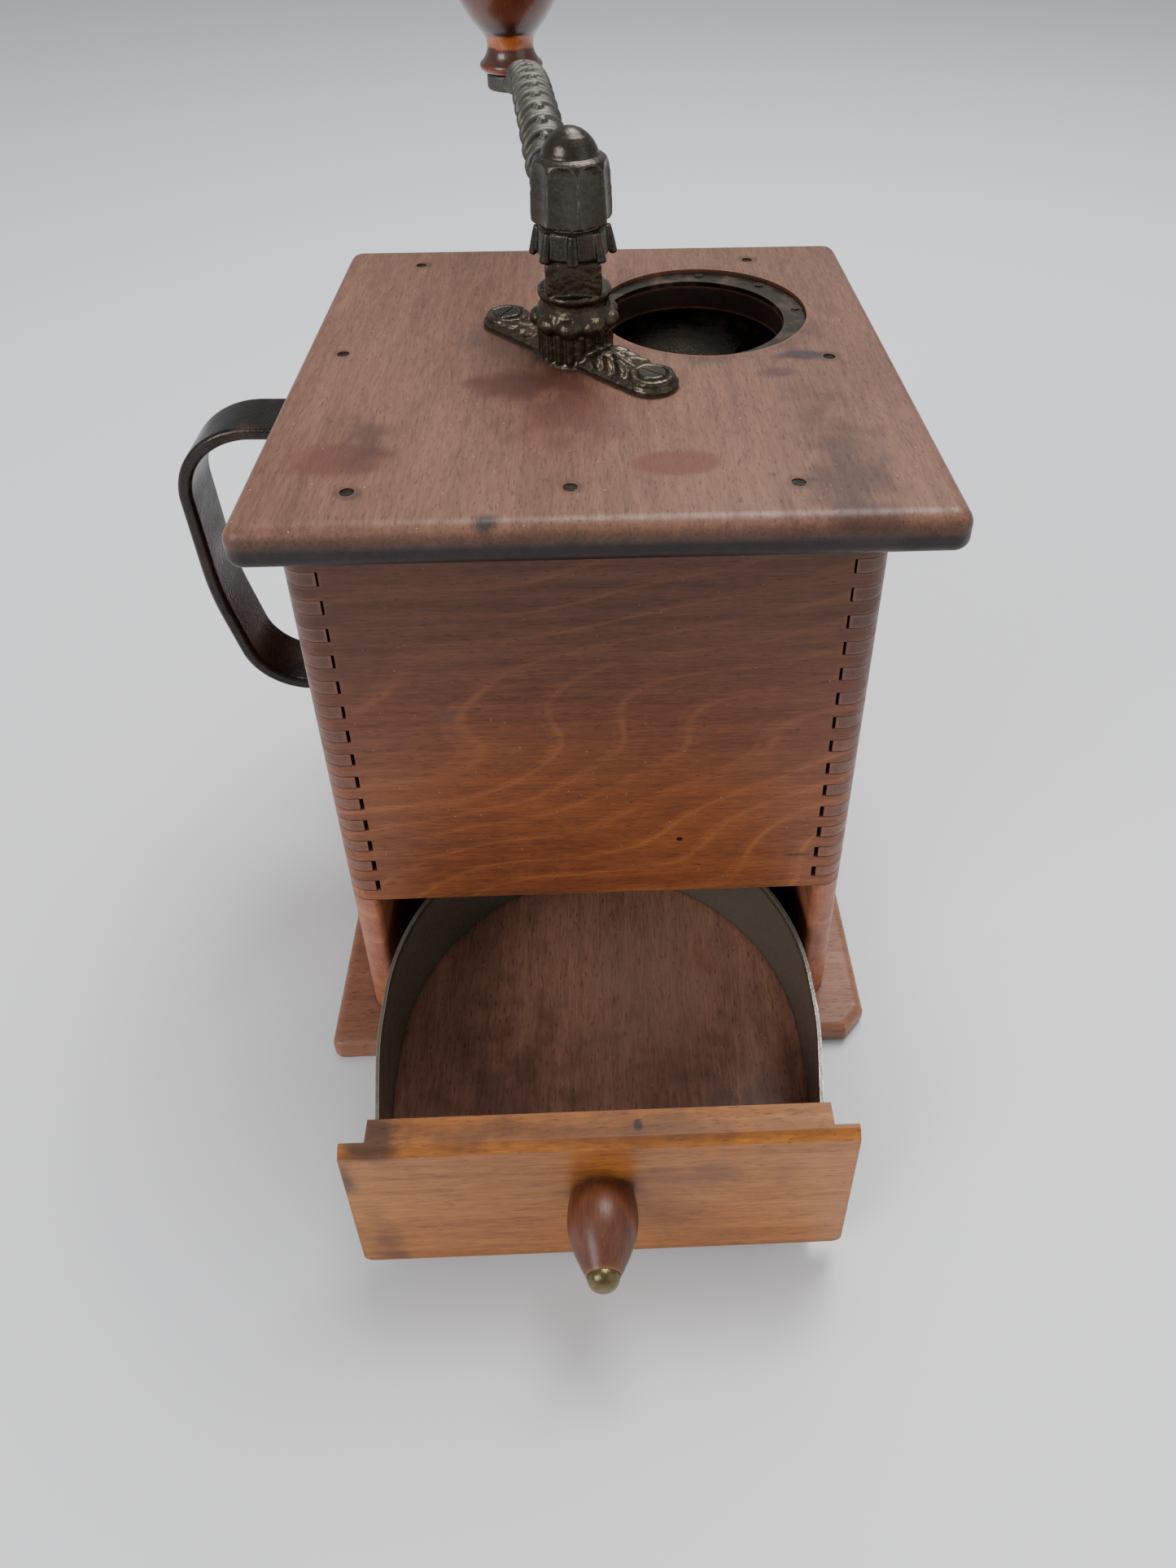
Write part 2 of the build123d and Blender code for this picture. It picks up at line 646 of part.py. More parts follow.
with BuildPart() as crank:
    with BuildSketch(Plane(origin=(spindle_x, spindle_y, 0), x_dir=(1, 0, 0), z_dir=(0, -1, 0))):
        with BuildLine():
            Polyline((0, hub_top), (0, hub_bottom), (hub_bottom_radius - hub_foot_edge, hub_bottom),
                     (hub_bottom_radius, hub_bottom + hub_foot_edge),
                     (hub_bottom_radius, hub_bottom + hub_foot))
            ThreePointArc((hub_bottom_radius, hub_bottom + hub_foot),
                          (hub_bottom_radius - 0.4, (hub_bottom + hub_shoulder) / 2),
                          (hub_shoulder_radius, hub_shoulder))
            Line((hub_shoulder_radius, hub_shoulder), (hub_dome_radius, hub_ledge_top))
            ThreePointArc((hub_dome_radius, hub_ledge_top),
                          (dome_round * sin(radians(40)), hub_top - dome_round * (1 - cos(radians(40)))),
                          (0, hub_top))
        make_face()
    revolve(axis=Axis((spindle_x, spindle_y, 0), (0, 0, 1)))
    with Locations((spindle_x, spindle_y, hub_bottom)):
        with PolarLocations(hub_bottom_radius + hub_hollow_radius - hub_hollow_depth, hub_faces,
                            start_angle=crank_angle + 180 / hub_faces):
            Cone(hub_hollow_radius - 0.4, hub_hollow_radius, hub_skirt - 0.6,
                 align=(Align.CENTER, Align.CENTER, Align.MIN), mode=Mode.SUBTRACT)
    with BuildLine() as arm_line:
        Spline(*[arm_point(out, bow, arm_root_z + rise * arm_rise) for out, bow, rise in (
            (0.04, 0.7, 0.0), (0.1, 1.0, 0.17), (0.145, 1.0, 0.38), (0.23, 1.0, 0.68), (0.33, 1.0, 0.88),
            (0.475, 0.6, 1.0), (0.6, 0.4, 0.91), (0.72, 0.2, 0.66), (0.84, 0.1, 0.32))],
               arm_point(1 - 0.9 * eye_radius / crank_throw, 0.0, eye_mid))
    for step in range(arm_sections + 1):
        along = step / arm_sections
        with BuildSketch(Plane(origin=arm_line.line @ along, x_dir=arm_side, z_dir=arm_line.line % along)):
            Ellipse((arm_root_width + (arm_tip_width - arm_root_width) * along) / 2,
                    (arm_root_thick + (arm_tip_thick - arm_root_thick) * along) / 2)
    loft()
    with Locations((eye_x, eye_y, eye_mid)):
        Cylinder(eye_radius, eye_thick)
    with Locations((eye_x, eye_y, eye_mid)):
        Cylinder(knob_pin_radius + pin_fit, 4 * eye_thick, mode=Mode.SUBTRACT)
    with Locations((spindle_x, spindle_y, hub_bottom)):
        Cylinder(spindle_radius + pin_fit, 2 * (hub_socket + pin_fit), mode=Mode.SUBTRACT)
    with Locations(Pos(spindle_x, spindle_y, hub_pin_level) * Rot(0, 0, crank_angle + 90)):
        Cylinder(hub_pin_radius + pin_fit, 4 * hub_bottom_radius, rotation=(0, 90, 0), mode=Mode.SUBTRACT)
save(crank.part, "crank")

with BuildPart() as hub_pin:
    with Locations(Pos(spindle_x, spindle_y, hub_pin_level) * Rot(0, 0, crank_angle + 90)):
        Cylinder(hub_pin_radius, 2 * hub_bottom_radius - 2.4, rotation=(0, 90, 0))
save(hub_pin.part, "hub_pin")

# ---- Crank knob: turned wood, free to spin on its riveted pin ----
knob_bottom = eye_top + knob_gap
knob_top = knob_bottom + knob_height
with BuildPart() as crank_knob:
    with BuildSketch(Plane(origin=(eye_x, eye_y, knob_bottom), x_dir=(1, 0, 0), z_dir=(0, -1, 0))):
        with BuildLine():
            Line((0, 0), (knob_ring_radius - knob_ring_edge, 0))
            ThreePointArc((knob_ring_radius - knob_ring_edge, 0), (knob_ring_radius, 1.1 * knob_ring_edge),
                          (knob_ring_radius - knob_ring_side, 0.4 * knob_neck_height))
            ThreePointArc((knob_ring_radius - knob_ring_side, 0.4 * knob_neck_height),
                          (knob_neck_radius, knob_neck_height),
                          (knob_ring_radius - knob_neck_edge, 1.57 * knob_neck_height))
            Spline((knob_ring_radius - knob_neck_edge, 1.57 * knob_neck_height),
                   (knob_radius * 0.83, 0.46 * knob_height), (knob_radius, 0.67 * knob_height),
                   (knob_radius * 0.82, 0.88 * knob_height), (knob_radius * knob_crown, knob_height))
            Line((knob_radius * knob_crown, knob_height), (0, knob_height))
            Line((0, knob_height), (0, 0))
        make_face()
    revolve(axis=Axis((eye_x, eye_y, 0), (0, 0, 1)))
    with Locations((eye_x, eye_y, knob_bottom)):
        Cylinder(knob_pin_radius + running_fit, 3 * knob_height, mode=Mode.SUBTRACT)
    with Locations((eye_x, eye_y, knob_top - pin_recess)):
        Cylinder(knob_pin_head + knob_gap, 2 * pin_recess, align=(Align.CENTER, Align.CENTER, Align.MIN),
                 mode=Mode.SUBTRACT)
save(crank_knob.part, "crank_knob")

with BuildPart() as knob_pin:
    with Locations((eye_x, eye_y, eye_top - eye_thick - rivet_thick)):
        Cylinder(knob_pin_radius, knob_top - pin_recess + knob_gap - eye_top + eye_thick + rivet_thick,
                 align=(Align.CENTER, Align.CENTER, Align.MIN))
        Cylinder(knob_pin_radius * 1.6, rivet_thick, align=(Align.CENTER, Align.CENTER, Align.MIN))
    with Locations((eye_x, eye_y, knob_top - pin_recess + knob_gap)):
        Cylinder(knob_pin_head, pin_cap_thick, align=(Align.CENTER, Align.CENTER, Align.MIN))
    fillet(knob_pin.edges().group_by(Axis.Z)[-1], pin_cap_thick * 0.75)
save(knob_pin.part, "knob_pin")

# ---- Hopper: a folded tin funnel with a rim, tacked to the side boards ----
mouth_half = inner_w - hopper_fit
with BuildPart() as hopper:
    with BuildSketch(Plane.XY.offset(mouth_top - hopper_rim)):
        Rectangle(2 * mouth_half, 2 * mouth_half)
    with BuildSketch(Plane.XY.offset(neck_bottom)):
        with Locations((spindle_x, spindle_y)):
            Rectangle(hopper_neck + 2 * hopper_wall, hopper_neck + 2 * hopper_wall)
    loft()
    with BuildSketch(Plane.XY.offset(mouth_top - hopper_rim)):
        Rectangle(2 * mouth_half, 2 * mouth_half)
    extrude(amount=hopper_rim)
    with BuildSketch(Plane.XY.offset(mouth_top - hopper_rim)):
        Rectangle(2 * mouth_half - 2 * hopper_wall, 2 * mouth_half - 2 * hopper_wall)
    with BuildSketch(Plane.XY.offset(neck_bottom)):
        with Locations((spindle_x, spindle_y)):
            Rectangle(hopper_neck - hopper_lap, hopper_neck - hopper_lap)
    loft(mode=Mode.SUBTRACT)
    with BuildSketch(Plane.XY.offset(mouth_top - hopper_rim)):
        Rectangle(2 * mouth_half - 2 * hopper_wall, 2 * mouth_half - 2 * hopper_wall)
    extrude(amount=hopper_rim + 1, mode=Mode.SUBTRACT)
    with BuildSketch(Plane.XY.offset(neck_bottom)):
        with Locations((spindle_x, spindle_y)):
            Rectangle(shell_flange, shell_flange)
            Rectangle(hopper_neck, hopper_neck, mode=Mode.SUBTRACT)
    extrude(amount=hopper_wall)
    with Locations(*[(s * mouth_half, y, mouth_top - tack_drop)
                     for s in (-1, 1) for y in (-tack_spread, tack_spread)]):
        Cylinder(tack_radius + pin_fit, 4 * hopper_wall, rotation=(0, 90, 0), mode=Mode.SUBTRACT)
    shell_screw_spots = [(spindle_x + sx * shell_screw_reach, spindle_y + sy * shell_screw_reach)
                         for sx in (-1, 1) for sy in (-1, 1)]
    with Locations(*[(x, y, neck_bottom) for x, y in shell_screw_spots]):
        Cylinder(shell_screw_radius + pin_fit, 2 * hopper_wall + pin_fit, mode=Mode.SUBTRACT)
save(hopper.part, "hopper")

with BuildPart() as hopper_tacks:
    for s in (-1, 1):
        with Locations(*[Pos(s * (mouth_half - hopper_wall), y, mouth_top - tack_drop) * Rot(0, s * 90, 0)
                         for y in (-tack_spread, tack_spread)]):
            Cylinder(tack_radius, tack_length, align=(Align.CENTER, Align.CENTER, Align.MIN))
            Cylinder(tack_head_radius, tack_head_thick, align=(Align.CENTER, Align.CENTER, Align.MAX))
save(hopper_tacks.part, "hopper_tacks")

# ---- Grinding shell: the fixed outer burr, hung under the hopper's neck ----
bridge_screw_x = (shell_radius + burr_mouth_radius) / 2
with BuildPart() as grinding_shell:
    with BuildSketch(Plane.XY.offset(shell_top - shell_flange_thick)):
        with Locations((spindle_x, spindle_y)):
            RectangleRounded(shell_flange, shell_flange, shell_flange_corner)
    extrude(amount=shell_flange_thick)
    with Locations((spindle_x, spindle_y, shell_bottom)):
        Cylinder(shell_radius - shell_waist, shell_height, align=(Align.CENTER, Align.CENTER, Align.MIN))
        Cylinder(shell_radius, shell_height * 0.4, align=(Align.CENTER, Align.CENTER, Align.MIN))
    with BuildSketch(Plane(origin=(spindle_x, spindle_y, 0), x_dir=(1, 0, 0), z_dir=(0, -1, 0))):
        with BuildLine():
            Polyline((0, shell_top + 1), (throat_radius, shell_top + 1), (throat_radius, throat_bottom),
                     (burr_mouth_radius, shell_bottom), (burr_mouth_radius, shell_bottom - 1),
                     (0, shell_bottom - 1), close=True)
        make_face()
    revolve(axis=Axis((spindle_x, spindle_y, 0), (0, 0, 1)), mode=Mode.SUBTRACT)
    with Locations((spindle_x, spindle_y, shell_bottom)):
        with PolarLocations(burr_mouth_radius, burr_teeth):
            Cylinder(burr_groove / 2, shell_height * 0.35, align=(Align.CENTER, Align.CENTER, Align.MIN),
                     mode=Mode.SUBTRACT)
        with Locations((bridge_screw_x, 0), (-bridge_screw_x, 0)):
            Cylinder(bridge_screw_radius + pin_fit, 2 * (bridge_screw_bite + 2.0), mode=Mode.SUBTRACT)
    with Locations(*[(x, y, neck_bottom) for x, y in shell_screw_spots]):
        Cylinder(shell_screw_radius + pin_fit, 6 * shell_flange_thick, mode=Mode.SUBTRACT)
save(grinding_shell.part, "grinding_shell")

shell_screw = slotted_screw(shell_screw_radius, shell_screw_head, screw_head_thick,
                            shell_flange_thick + hopper_wall)
with BuildPart() as shell_screws:
    for x, y in shell_screw_spots:
        add(Pos(x, y, shell_top - shell_flange_thick) * Rot(180, 0, 0) * shell_screw)
save(shell_screws.part, "shell_screws")

# ---- Grinding cone: the inner burr, pinned to the spindle ----
cone_base_radius = burr_radius(cone_bottom) - burr_gap
cone_tip_radius = burr_radius(cone_top) - burr_gap
with BuildPart() as grinding_cone:
    with Locations((spindle_x, spindle_y, cone_bottom)):
        Cone(cone_base_radius, cone_tip_radius, cone_height, align=(Align.CENTER, Align.CENTER, Align.MIN))
        with PolarLocations(cone_tip_radius + 0.8 * burr_groove, burr_teeth):
            Cylinder(burr_groove, cone_height + 1, align=(Align.CENTER, Align.CENTER, Align.MIN),
                     mode=Mode.SUBTRACT)
        Cylinder(spindle_radius + pin_fit, 4 * cone_height, mode=Mode.SUBTRACT)
    with Locations((spindle_x, spindle_y, cone_pin_level)):
        Cylinder(cone_pin_radius + pin_fit, 4 * cone_base_radius, rotation=(0, 90, 0), mode=Mode.SUBTRACT)
save(grinding_cone.part, "grinding_cone")

with BuildPart() as cone_pin:
    with Locations((spindle_x, spindle_y, cone_pin_level)):
        Cylinder(cone_pin_radius, 2 * cone_tip_radius, rotation=(0, 90, 0))
save(cone_pin.part, "cone_pin")

# ---- Bridge: the lower bearing of the spindle, screwed up into the shell ----
with BuildPart() as bearing_bridge:
    with Locations((spindle_x, spindle_y, bridge_bottom)):
        Box(2 * (shell_radius - bridge_inset), bridge_width, bridge_thick,
            align=(Align.CENTER, Align.CENTER, Align.MIN))
        Cylinder(bridge_width * 0.72, bridge_thick + bridge_boss_height,
                 align=(Align.CENTER, Align.CENTER, Align.MIN))
        for s in (-1, 1):
            with Locations((s * bridge_screw_x, 0, 0)):
                Cylinder(shell_radius - bridge_screw_x - bridge_inset, bridge_drop,
                         align=(Align.CENTER, Align.CENTER, Align.MIN))
                Cylinder(bridge_screw_radius + pin_fit, 4 * bridge_drop, mode=Mode.SUBTRACT)
        Cylinder(spindle_radius + running_fit, 8 * bridge_thick, mode=Mode.SUBTRACT)
save(bearing_bridge.part, "bearing_bridge")

bridge_screw = slotted_screw(bridge_screw_radius, bridge_screw_head, screw_head_thick,
                             bridge_drop + bridge_screw_bite)
with BuildPart() as bridge_screws:
    for s in (-1, 1):
        add(Pos(spindle_x + s * bridge_screw_x, spindle_y, bridge_bottom) * Rot(180, 0, 0) * bridge_screw)
save(bridge_screws.part, "bridge_screws")

# ---- Side handle: a cast strap on the left side, with a screwed plate at each end ----
handle_top_z = case_top - handle_top_drop
handle_bottom_z = case_top - handle_bottom_drop
handle_out = -half_w - handle_reach
plate_face = -half_w - handle_plate_thick
with BuildPart() as side_handle:
    with BuildLine(Plane.XZ) as handle_line:
        FilletPolyline((-half_w - handle_root, handle_top_z - handle_root),
                       (handle_out - handle_top_rake, handle_top_z),
                       (handle_out, (handle_top_z + handle_bottom_z) / 2 - handle_belly_drop),
                       (handle_out + handle_bottom_rake, handle_bottom_z + handle_overrun),
                       (-half_w - handle_root, handle_bottom_z), radius=list(handle_bends))
    with BuildSketch(Plane(origin=handle_line.line @ 0, x_dir=(0, 1, 0), z_dir=handle_line.line % 0)):
        RectangleRounded(handle_width, handle_thick, handle_edge)
    sweep()
    for low in (handle_top_z - handle_plate_length + handle_overrun, handle_bottom_z - handle_overrun):
        with Locations((-half_w, 0, low)):
            Box(handle_plate_thick, handle_plate_width, handle_plate_length,
                align=(Align.MAX, Align.CENTER, Align.MIN))
    plate_edges = side_handle.edges().filter_by(
        lambda e: abs(abs(e.center().Y) - handle_plate_width / 2) < 0.01
        and abs(e.center().X - plate_face) < 0.01)
    fillet(plate_edges, handle_plate_edge)
    with Locations(*[(-half_w, 0, z) for z in handle_screw_spots]):
        Cylinder(handle_screw_radius + pin_fit, 4 * handle_plate_thick, rotation=(0, 90, 0),
                 mode=Mode.SUBTRACT)
save(side_handle.part, "side_handle")

handle_screw = slotted_screw(handle_screw_radius, handle_screw_head, screw_head_thick, handle_screw_length)
with BuildPart() as handle_screws:
    for z in handle_screw_spots:
        add(Pos(plate_face, 0, z) * Rot(0, -90, 0) * handle_screw)
save(handle_screws.part, "handle_screws")

# ---- Drawer, shown drawn out ----
drawer_half = inner_w - drawer_side_gap
tongue_half = drawer_half - drawer_rabbet
drawer_bottom = base_top + drawer_foot_gap
drawer_top = bay_top - drawer_head_gap
face_y = -half_d - drawer_open
back_y = face_y + drawer_front_thick
band_half = tongue_half + band_thick + band_swell
arc_y = face_y + drawer_depth - band_half
flare_y = back_y + band_flare_share * (arc_y - back_y)
tongue_front_y = face_y + drawer_lip
knob_z = (drawer_bottom + drawer_top) / 2 + drawer_knob_rise
toe_place = (Pos(floor_screw_x, back_y + floor_screw_inset, drawer_bottom + drawer_floor_thick)
             * Rot(floor_screw_lean, 0, 0))
nail_y = (tongue_front_y + back_y) / 2
nail_rows = [drawer_bottom + rise for rise in drawer_nail_rises]

with BuildPart() as drawer_front:
    with Locations((0, face_y, drawer_bottom)):
        Box(2 * drawer_half, drawer_lip, drawer_top - drawer_bottom,
            align=(Align.CENTER, Align.MIN, Align.MIN))
        Box(2 * tongue_half, drawer_front_thick, drawer_top - drawer_bottom,
            align=(Align.CENTER, Align.MIN, Align.MIN))
    fillet(drawer_front.edges().filter_by(Axis.Y).filter_by(
        lambda e: e.center().Z < drawer_bottom + 0.01 and abs(e.center().X) > tongue_half + 0.01),
        drawer_corner)
    face_edges = drawer_front.faces().sort_by(Axis.Y)[0].edges()
    chamfer(face_edges.filter_by(Axis.X).sort_by(Axis.Z)[-1], drawer_bevel)
    with Locations((0, face_y, knob_z)):
        Cylinder(drawer_knob_screw + pin_fit, 4 * drawer_front_thick, rotation=(90, 0, 0),
                 mode=Mode.SUBTRACT)
    with Locations(toe_place):
        Cylinder(floor_screw_radius + pin_fit, 2 * (floor_screw_length + pin_fit), mode=Mode.SUBTRACT)
    with Locations(*[(s * tongue_half, nail_y, z) for s in (-1, 1) for z in nail_rows]):
        Cylinder(drawer_nail_radius + pin_fit, 2 * drawer_nail_length, rotation=(0, 90, 0),
                 mode=Mode.SUBTRACT)
save(drawer_front.part, "drawer_front")


def band_outline(inset):
    """Outline of the bent band: from one end of the front, round the back, to the other end."""
    with BuildLine() as line:
        start = tongue_half + band_thick - inset
        wide = band_half - inset
        front_end = tongue_front_y + band_setback
        right = Spline((start, front_end), (start, back_y), (wide, flare_y), (wide, arc_y),
                       tangents=((0, 1), (0, 1)))
        left = Spline((-wide, arc_y), (-wide, flare_y), (-start, back_y), (-start, front_end),
                      tangents=((0, -1), (0, -1)))
        ThreePointArc(right @ 1, (0, arc_y + wide), left @ 0)
        Line(left @ 1, right @ 0)
    return line.line


with BuildPart() as drawer_band:
    with BuildSketch(Plane.XY.offset(drawer_bottom)) as band_plan:
        with BuildLine():
            add(band_outline(0))
        make_face()
        with BuildLine():
            add(band_outline(band_thick))
        make_face(mode=Mode.SUBTRACT)
        with Locations((0, tongue_front_y)):
            Rectangle(2 * tongue_half, 2 * drawer_front_thick, mode=Mode.SUBTRACT)
            Rectangle(4 * band_half, 2 * band_setback, mode=Mode.SUBTRACT)
    extrude(amount=band_height)
    with Locations(*[(s * tongue_half, nail_y, z) for s in (-1, 1) for z in nail_rows]):
        Cylinder(drawer_nail_radius + pin_fit, 4 * band_thick + 2, rotation=(0, 90, 0), mode=Mode.SUBTRACT)
save(drawer_band.part, "drawer_band")

with BuildPart() as band_nails:
    for s in (-1, 1):
        with Locations(*[Pos(s * (tongue_half + band_thick), nail_y, z) * Rot(0, s * 90, 0)
                         for z in nail_rows]):
            Cylinder(drawer_nail_radius, drawer_nail_length, align=(Align.CENTER, Align.CENTER, Align.MAX))
            Cylinder(drawer_nail_head, drawer_nail_head_thick, align=(Align.CENTER, Align.CENTER, Align.MIN))
save(band_nails.part, "band_nails")

with BuildPart() as drawer_floor:
    with BuildSketch(Plane.XY.offset(drawer_bottom)):
        with BuildLine():
            add(band_outline(band_thick + floor_fit))
        make_face()
        with Locations((0, back_y)):
            Rectangle(4 * band_half, 4 * drawer_front_thick, align=(Align.CENTER, Align.MAX),
                      mode=Mode.SUBTRACT)
    extrude(amount=drawer_floor_thick)
    with Locations(toe_place):
        Cylinder(floor_screw_radius + pin_fit, 2 * (floor_screw_length + pin_fit), mode=Mode.SUBTRACT)
        with Locations((0, 0, -floor_screw_sink)):
            Cylinder(floor_screw_head + pin_fit, 4 * floor_screw_sink,
                     align=(Align.CENTER, Align.CENTER, Align.MIN), mode=Mode.SUBTRACT)
save(drawer_floor.part, "drawer_floor")

toe_screw = slotted_screw(floor_screw_radius, floor_screw_head, floor_screw_head_thick,
                          floor_screw_length - floor_screw_sink)
with BuildPart() as floor_screw:
    add(toe_place * Pos(0, 0, -floor_screw_sink) * toe_screw)
save(floor_screw.part, "floor_screw")

# ---- Drawer knob: an acorn of turned wood, held by a brass screw with a domed tip ----
knob_plane = Plane(origin=(0, face_y, knob_z), x_dir=(1, 0, 0), z_dir=(0, 0, 1))
with BuildPart() as drawer_knob:
    with BuildSketch(knob_plane):
        with BuildLine():
            Line((0, 0), (drawer_knob_base, 0))
            Spline((drawer_knob_base, 0), (drawer_knob_radius, -0.38 * drawer_knob_length),
                   (brass_tip_radius + brass_tip_land, -drawer_knob_length),
                   tangents=((0.25, -1), (-0.6, -1)))
            Line((brass_tip_radius + brass_tip_land, -drawer_knob_length), (0, -drawer_knob_length))
            Line((0, -drawer_knob_length), (0, 0))
        make_face()
    revolve(axis=Axis((0, face_y, knob_z), (0, 1, 0)))
    with Locations((0, face_y, knob_z)):
        Cylinder(drawer_knob_screw + pin_fit, 4 * drawer_knob_length, rotation=(90, 0, 0),
                 mode=Mode.SUBTRACT)
save(drawer_knob.part, "drawer_knob")

with BuildPart() as drawer_knob_screw_part:
    with Locations(Pos(0, face_y - drawer_knob_length, knob_z) * Rot(90, 0, 0)):
        Cylinder(drawer_knob_screw, drawer_knob_length + drawer_front_thick - knob_screw_stop,
                 align=(Align.CENTER, Align.CENTER, Align.MAX))
        Cylinder(brass_tip_radius, brass_tip_height, align=(Align.CENTER, Align.CENTER, Align.MIN))
    fillet(drawer_knob_screw_part.edges().group_by(Axis.Y)[0], brass_tip_radius * 0.75)
save(drawer_knob_screw_part.part, "drawer_knob_screw")
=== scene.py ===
import math

import bpy
from mathutils import Matrix, Vector


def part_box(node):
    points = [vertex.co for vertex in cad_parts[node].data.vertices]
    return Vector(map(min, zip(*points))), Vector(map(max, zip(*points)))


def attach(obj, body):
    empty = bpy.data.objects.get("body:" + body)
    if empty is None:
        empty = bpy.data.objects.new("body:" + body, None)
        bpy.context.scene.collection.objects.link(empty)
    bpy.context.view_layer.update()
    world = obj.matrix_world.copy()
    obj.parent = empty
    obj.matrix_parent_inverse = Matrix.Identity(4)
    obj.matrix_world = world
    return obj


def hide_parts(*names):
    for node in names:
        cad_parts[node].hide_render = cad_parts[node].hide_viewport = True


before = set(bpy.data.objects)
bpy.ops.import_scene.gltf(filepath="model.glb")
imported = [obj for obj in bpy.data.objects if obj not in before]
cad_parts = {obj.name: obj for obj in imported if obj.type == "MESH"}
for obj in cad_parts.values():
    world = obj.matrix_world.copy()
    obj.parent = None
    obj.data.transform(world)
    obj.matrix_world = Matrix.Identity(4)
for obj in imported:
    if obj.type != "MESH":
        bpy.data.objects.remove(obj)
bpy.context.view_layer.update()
scene = bpy.context.scene

# ---- Camera ----
# It looks down into the open drawer from the front, a little right of the middle,
# with the wide lens of a hand-held camera.
heading, dip, tilt = 0.0329, 0.5617, -0.0042
ahead = Vector((math.sin(heading) * math.cos(dip), math.cos(heading) * math.cos(dip), -math.sin(dip)))
level = Vector((math.cos(heading), -math.sin(heading), 0.0))
above = level.cross(ahead)
across = math.cos(tilt) * level + math.sin(tilt) * above
upward = math.cos(tilt) * above - math.sin(tilt) * level
lens_data = bpy.data.cameras.new("mill_camera")
lens_data.lens = 25.0
lens_data.shift_x = -0.0251
lens_data.shift_y = -0.2044
camera = bpy.data.objects.new("mill_camera", lens_data)
scene.collection.objects.link(camera)
camera.matrix_world = Matrix((across, upward, -ahead)).transposed().to_4x4()
camera.location = (0.0029, -0.3049, 0.3748)
scene.camera = camera

# ---- Studio ----
# A pale table top under soft white light: a broad lamp at the left front,
# a second one overhead behind the mill, and a weak one at the right.
bpy.ops.object.select_all(action="DESELECT")
bpy.ops.mesh.primitive_plane_add(size=9.0)
table_top = bpy.context.object
table_top.name = "table_top"
pale = bpy.data.materials.new("pale_table")
pale.use_nodes = True
pale.node_tree.nodes["Principled BSDF"].inputs["Base Color"].default_value = (0.78, 0.79, 0.81, 1)
pale.node_tree.nodes["Principled BSDF"].inputs["Roughness"].default_value = 0.45
table_top.data.materials.append(pale)

for name, place, aim, size, power in (
        ("window_light", (-1.1, -1.0, 1.0), (0.0, 0.0, 0.1), 0.7, 15.0),
        ("ceiling_light", (0.3, 0.45, 1.6), (0.0, -0.05, 0.1), 0.9, 30.0),
        ("fill_light", (1.3, -0.8, 0.7), (0.0, 0.0, 0.1), 1.2, 3.0)):
    lamp = bpy.data.lights.new(name, "AREA")
    lamp.size = size
    lamp.energy = power
    holder = bpy.data.objects.new(name, lamp)
    scene.collection.objects.link(holder)
    holder.location = place
    holder.rotation_euler = (Vector(aim) - Vector(place)).to_track_quat("-Z", "Y").to_euler()
room = bpy.data.worlds.new("soft_room")
room.use_nodes = True
room.node_tree.nodes["Background"].inputs["Color"].default_value = (0.88, 0.90, 0.93, 1)
room.node_tree.nodes["Background"].inputs["Strength"].default_value = 0.5
scene.world = room


# ---- Base board ----
# A square birch plank with its grain from side to side. Its edges are planed round, waxed,
# and rubbed down to the pale wood along the front. Six screws go up from it into the walls.
def new_group(name, inputs, outputs):
    """An empty shader group with those sockets; gives it with its input and output sockets."""
    group = bpy.data.node_groups.new(name, "ShaderNodeTree")
    for label, kind, value in inputs:
        made = group.interface.new_socket(label, in_out="INPUT", socket_type="NodeSocket" + kind)
        if value is not None:
            made.default_value = value
    for label, kind in outputs:
        group.interface.new_socket(label, in_out="OUTPUT", socket_type="NodeSocket" + kind)
    return group, group.nodes.new("NodeGroupInput").outputs, group.nodes.new("NodeGroupOutput").inputs


def put(tree, kind, inputs, **settings):
    """Adds a shader node; each input, by name or number, is a value or another node's output."""
    made = tree.nodes.new("ShaderNode" + kind)
    for name, value in settings.items():
        setattr(made, name, value)
    for socket, value in inputs.items():
        if isinstance(value, bpy.types.NodeSocket):
            tree.links.new(value, made.inputs[socket])
        else:
            made.inputs[socket].default_value = value
    return made.outputs


def blend_colours(tree, factor, first, second, kind="MIX"):
    return put(tree, "Mix", {0: factor, 6: first, 7: second}, data_type="RGBA", blend_type=kind)[2]


def times(tree, first, second):
    return put(tree, "Math", {0: first, 1: second}, operation="MULTIPLY")[0]


def ramp_range(tree, value, low, high, low_out=0.0, high_out=1.0):
    return put(tree, "MapRange", {0: value, 1: low, 2: high, 3: low_out, 4: high_out})[0]


def stretched_noise(tree, vector, scale, detail, roughness=0.55, distortion=0.0):
    """Noise drawn out along the fibre by a different scale in each direction."""
    stretched = put(tree, "Mapping", {"Vector": vector, "Scale": scale})[0]
    return put(tree, "TexNoise", {"Vector": stretched, "Scale": 1.0, "Detail": detail,
                                  "Roughness": roughness, "Distortion": distortion})[0]


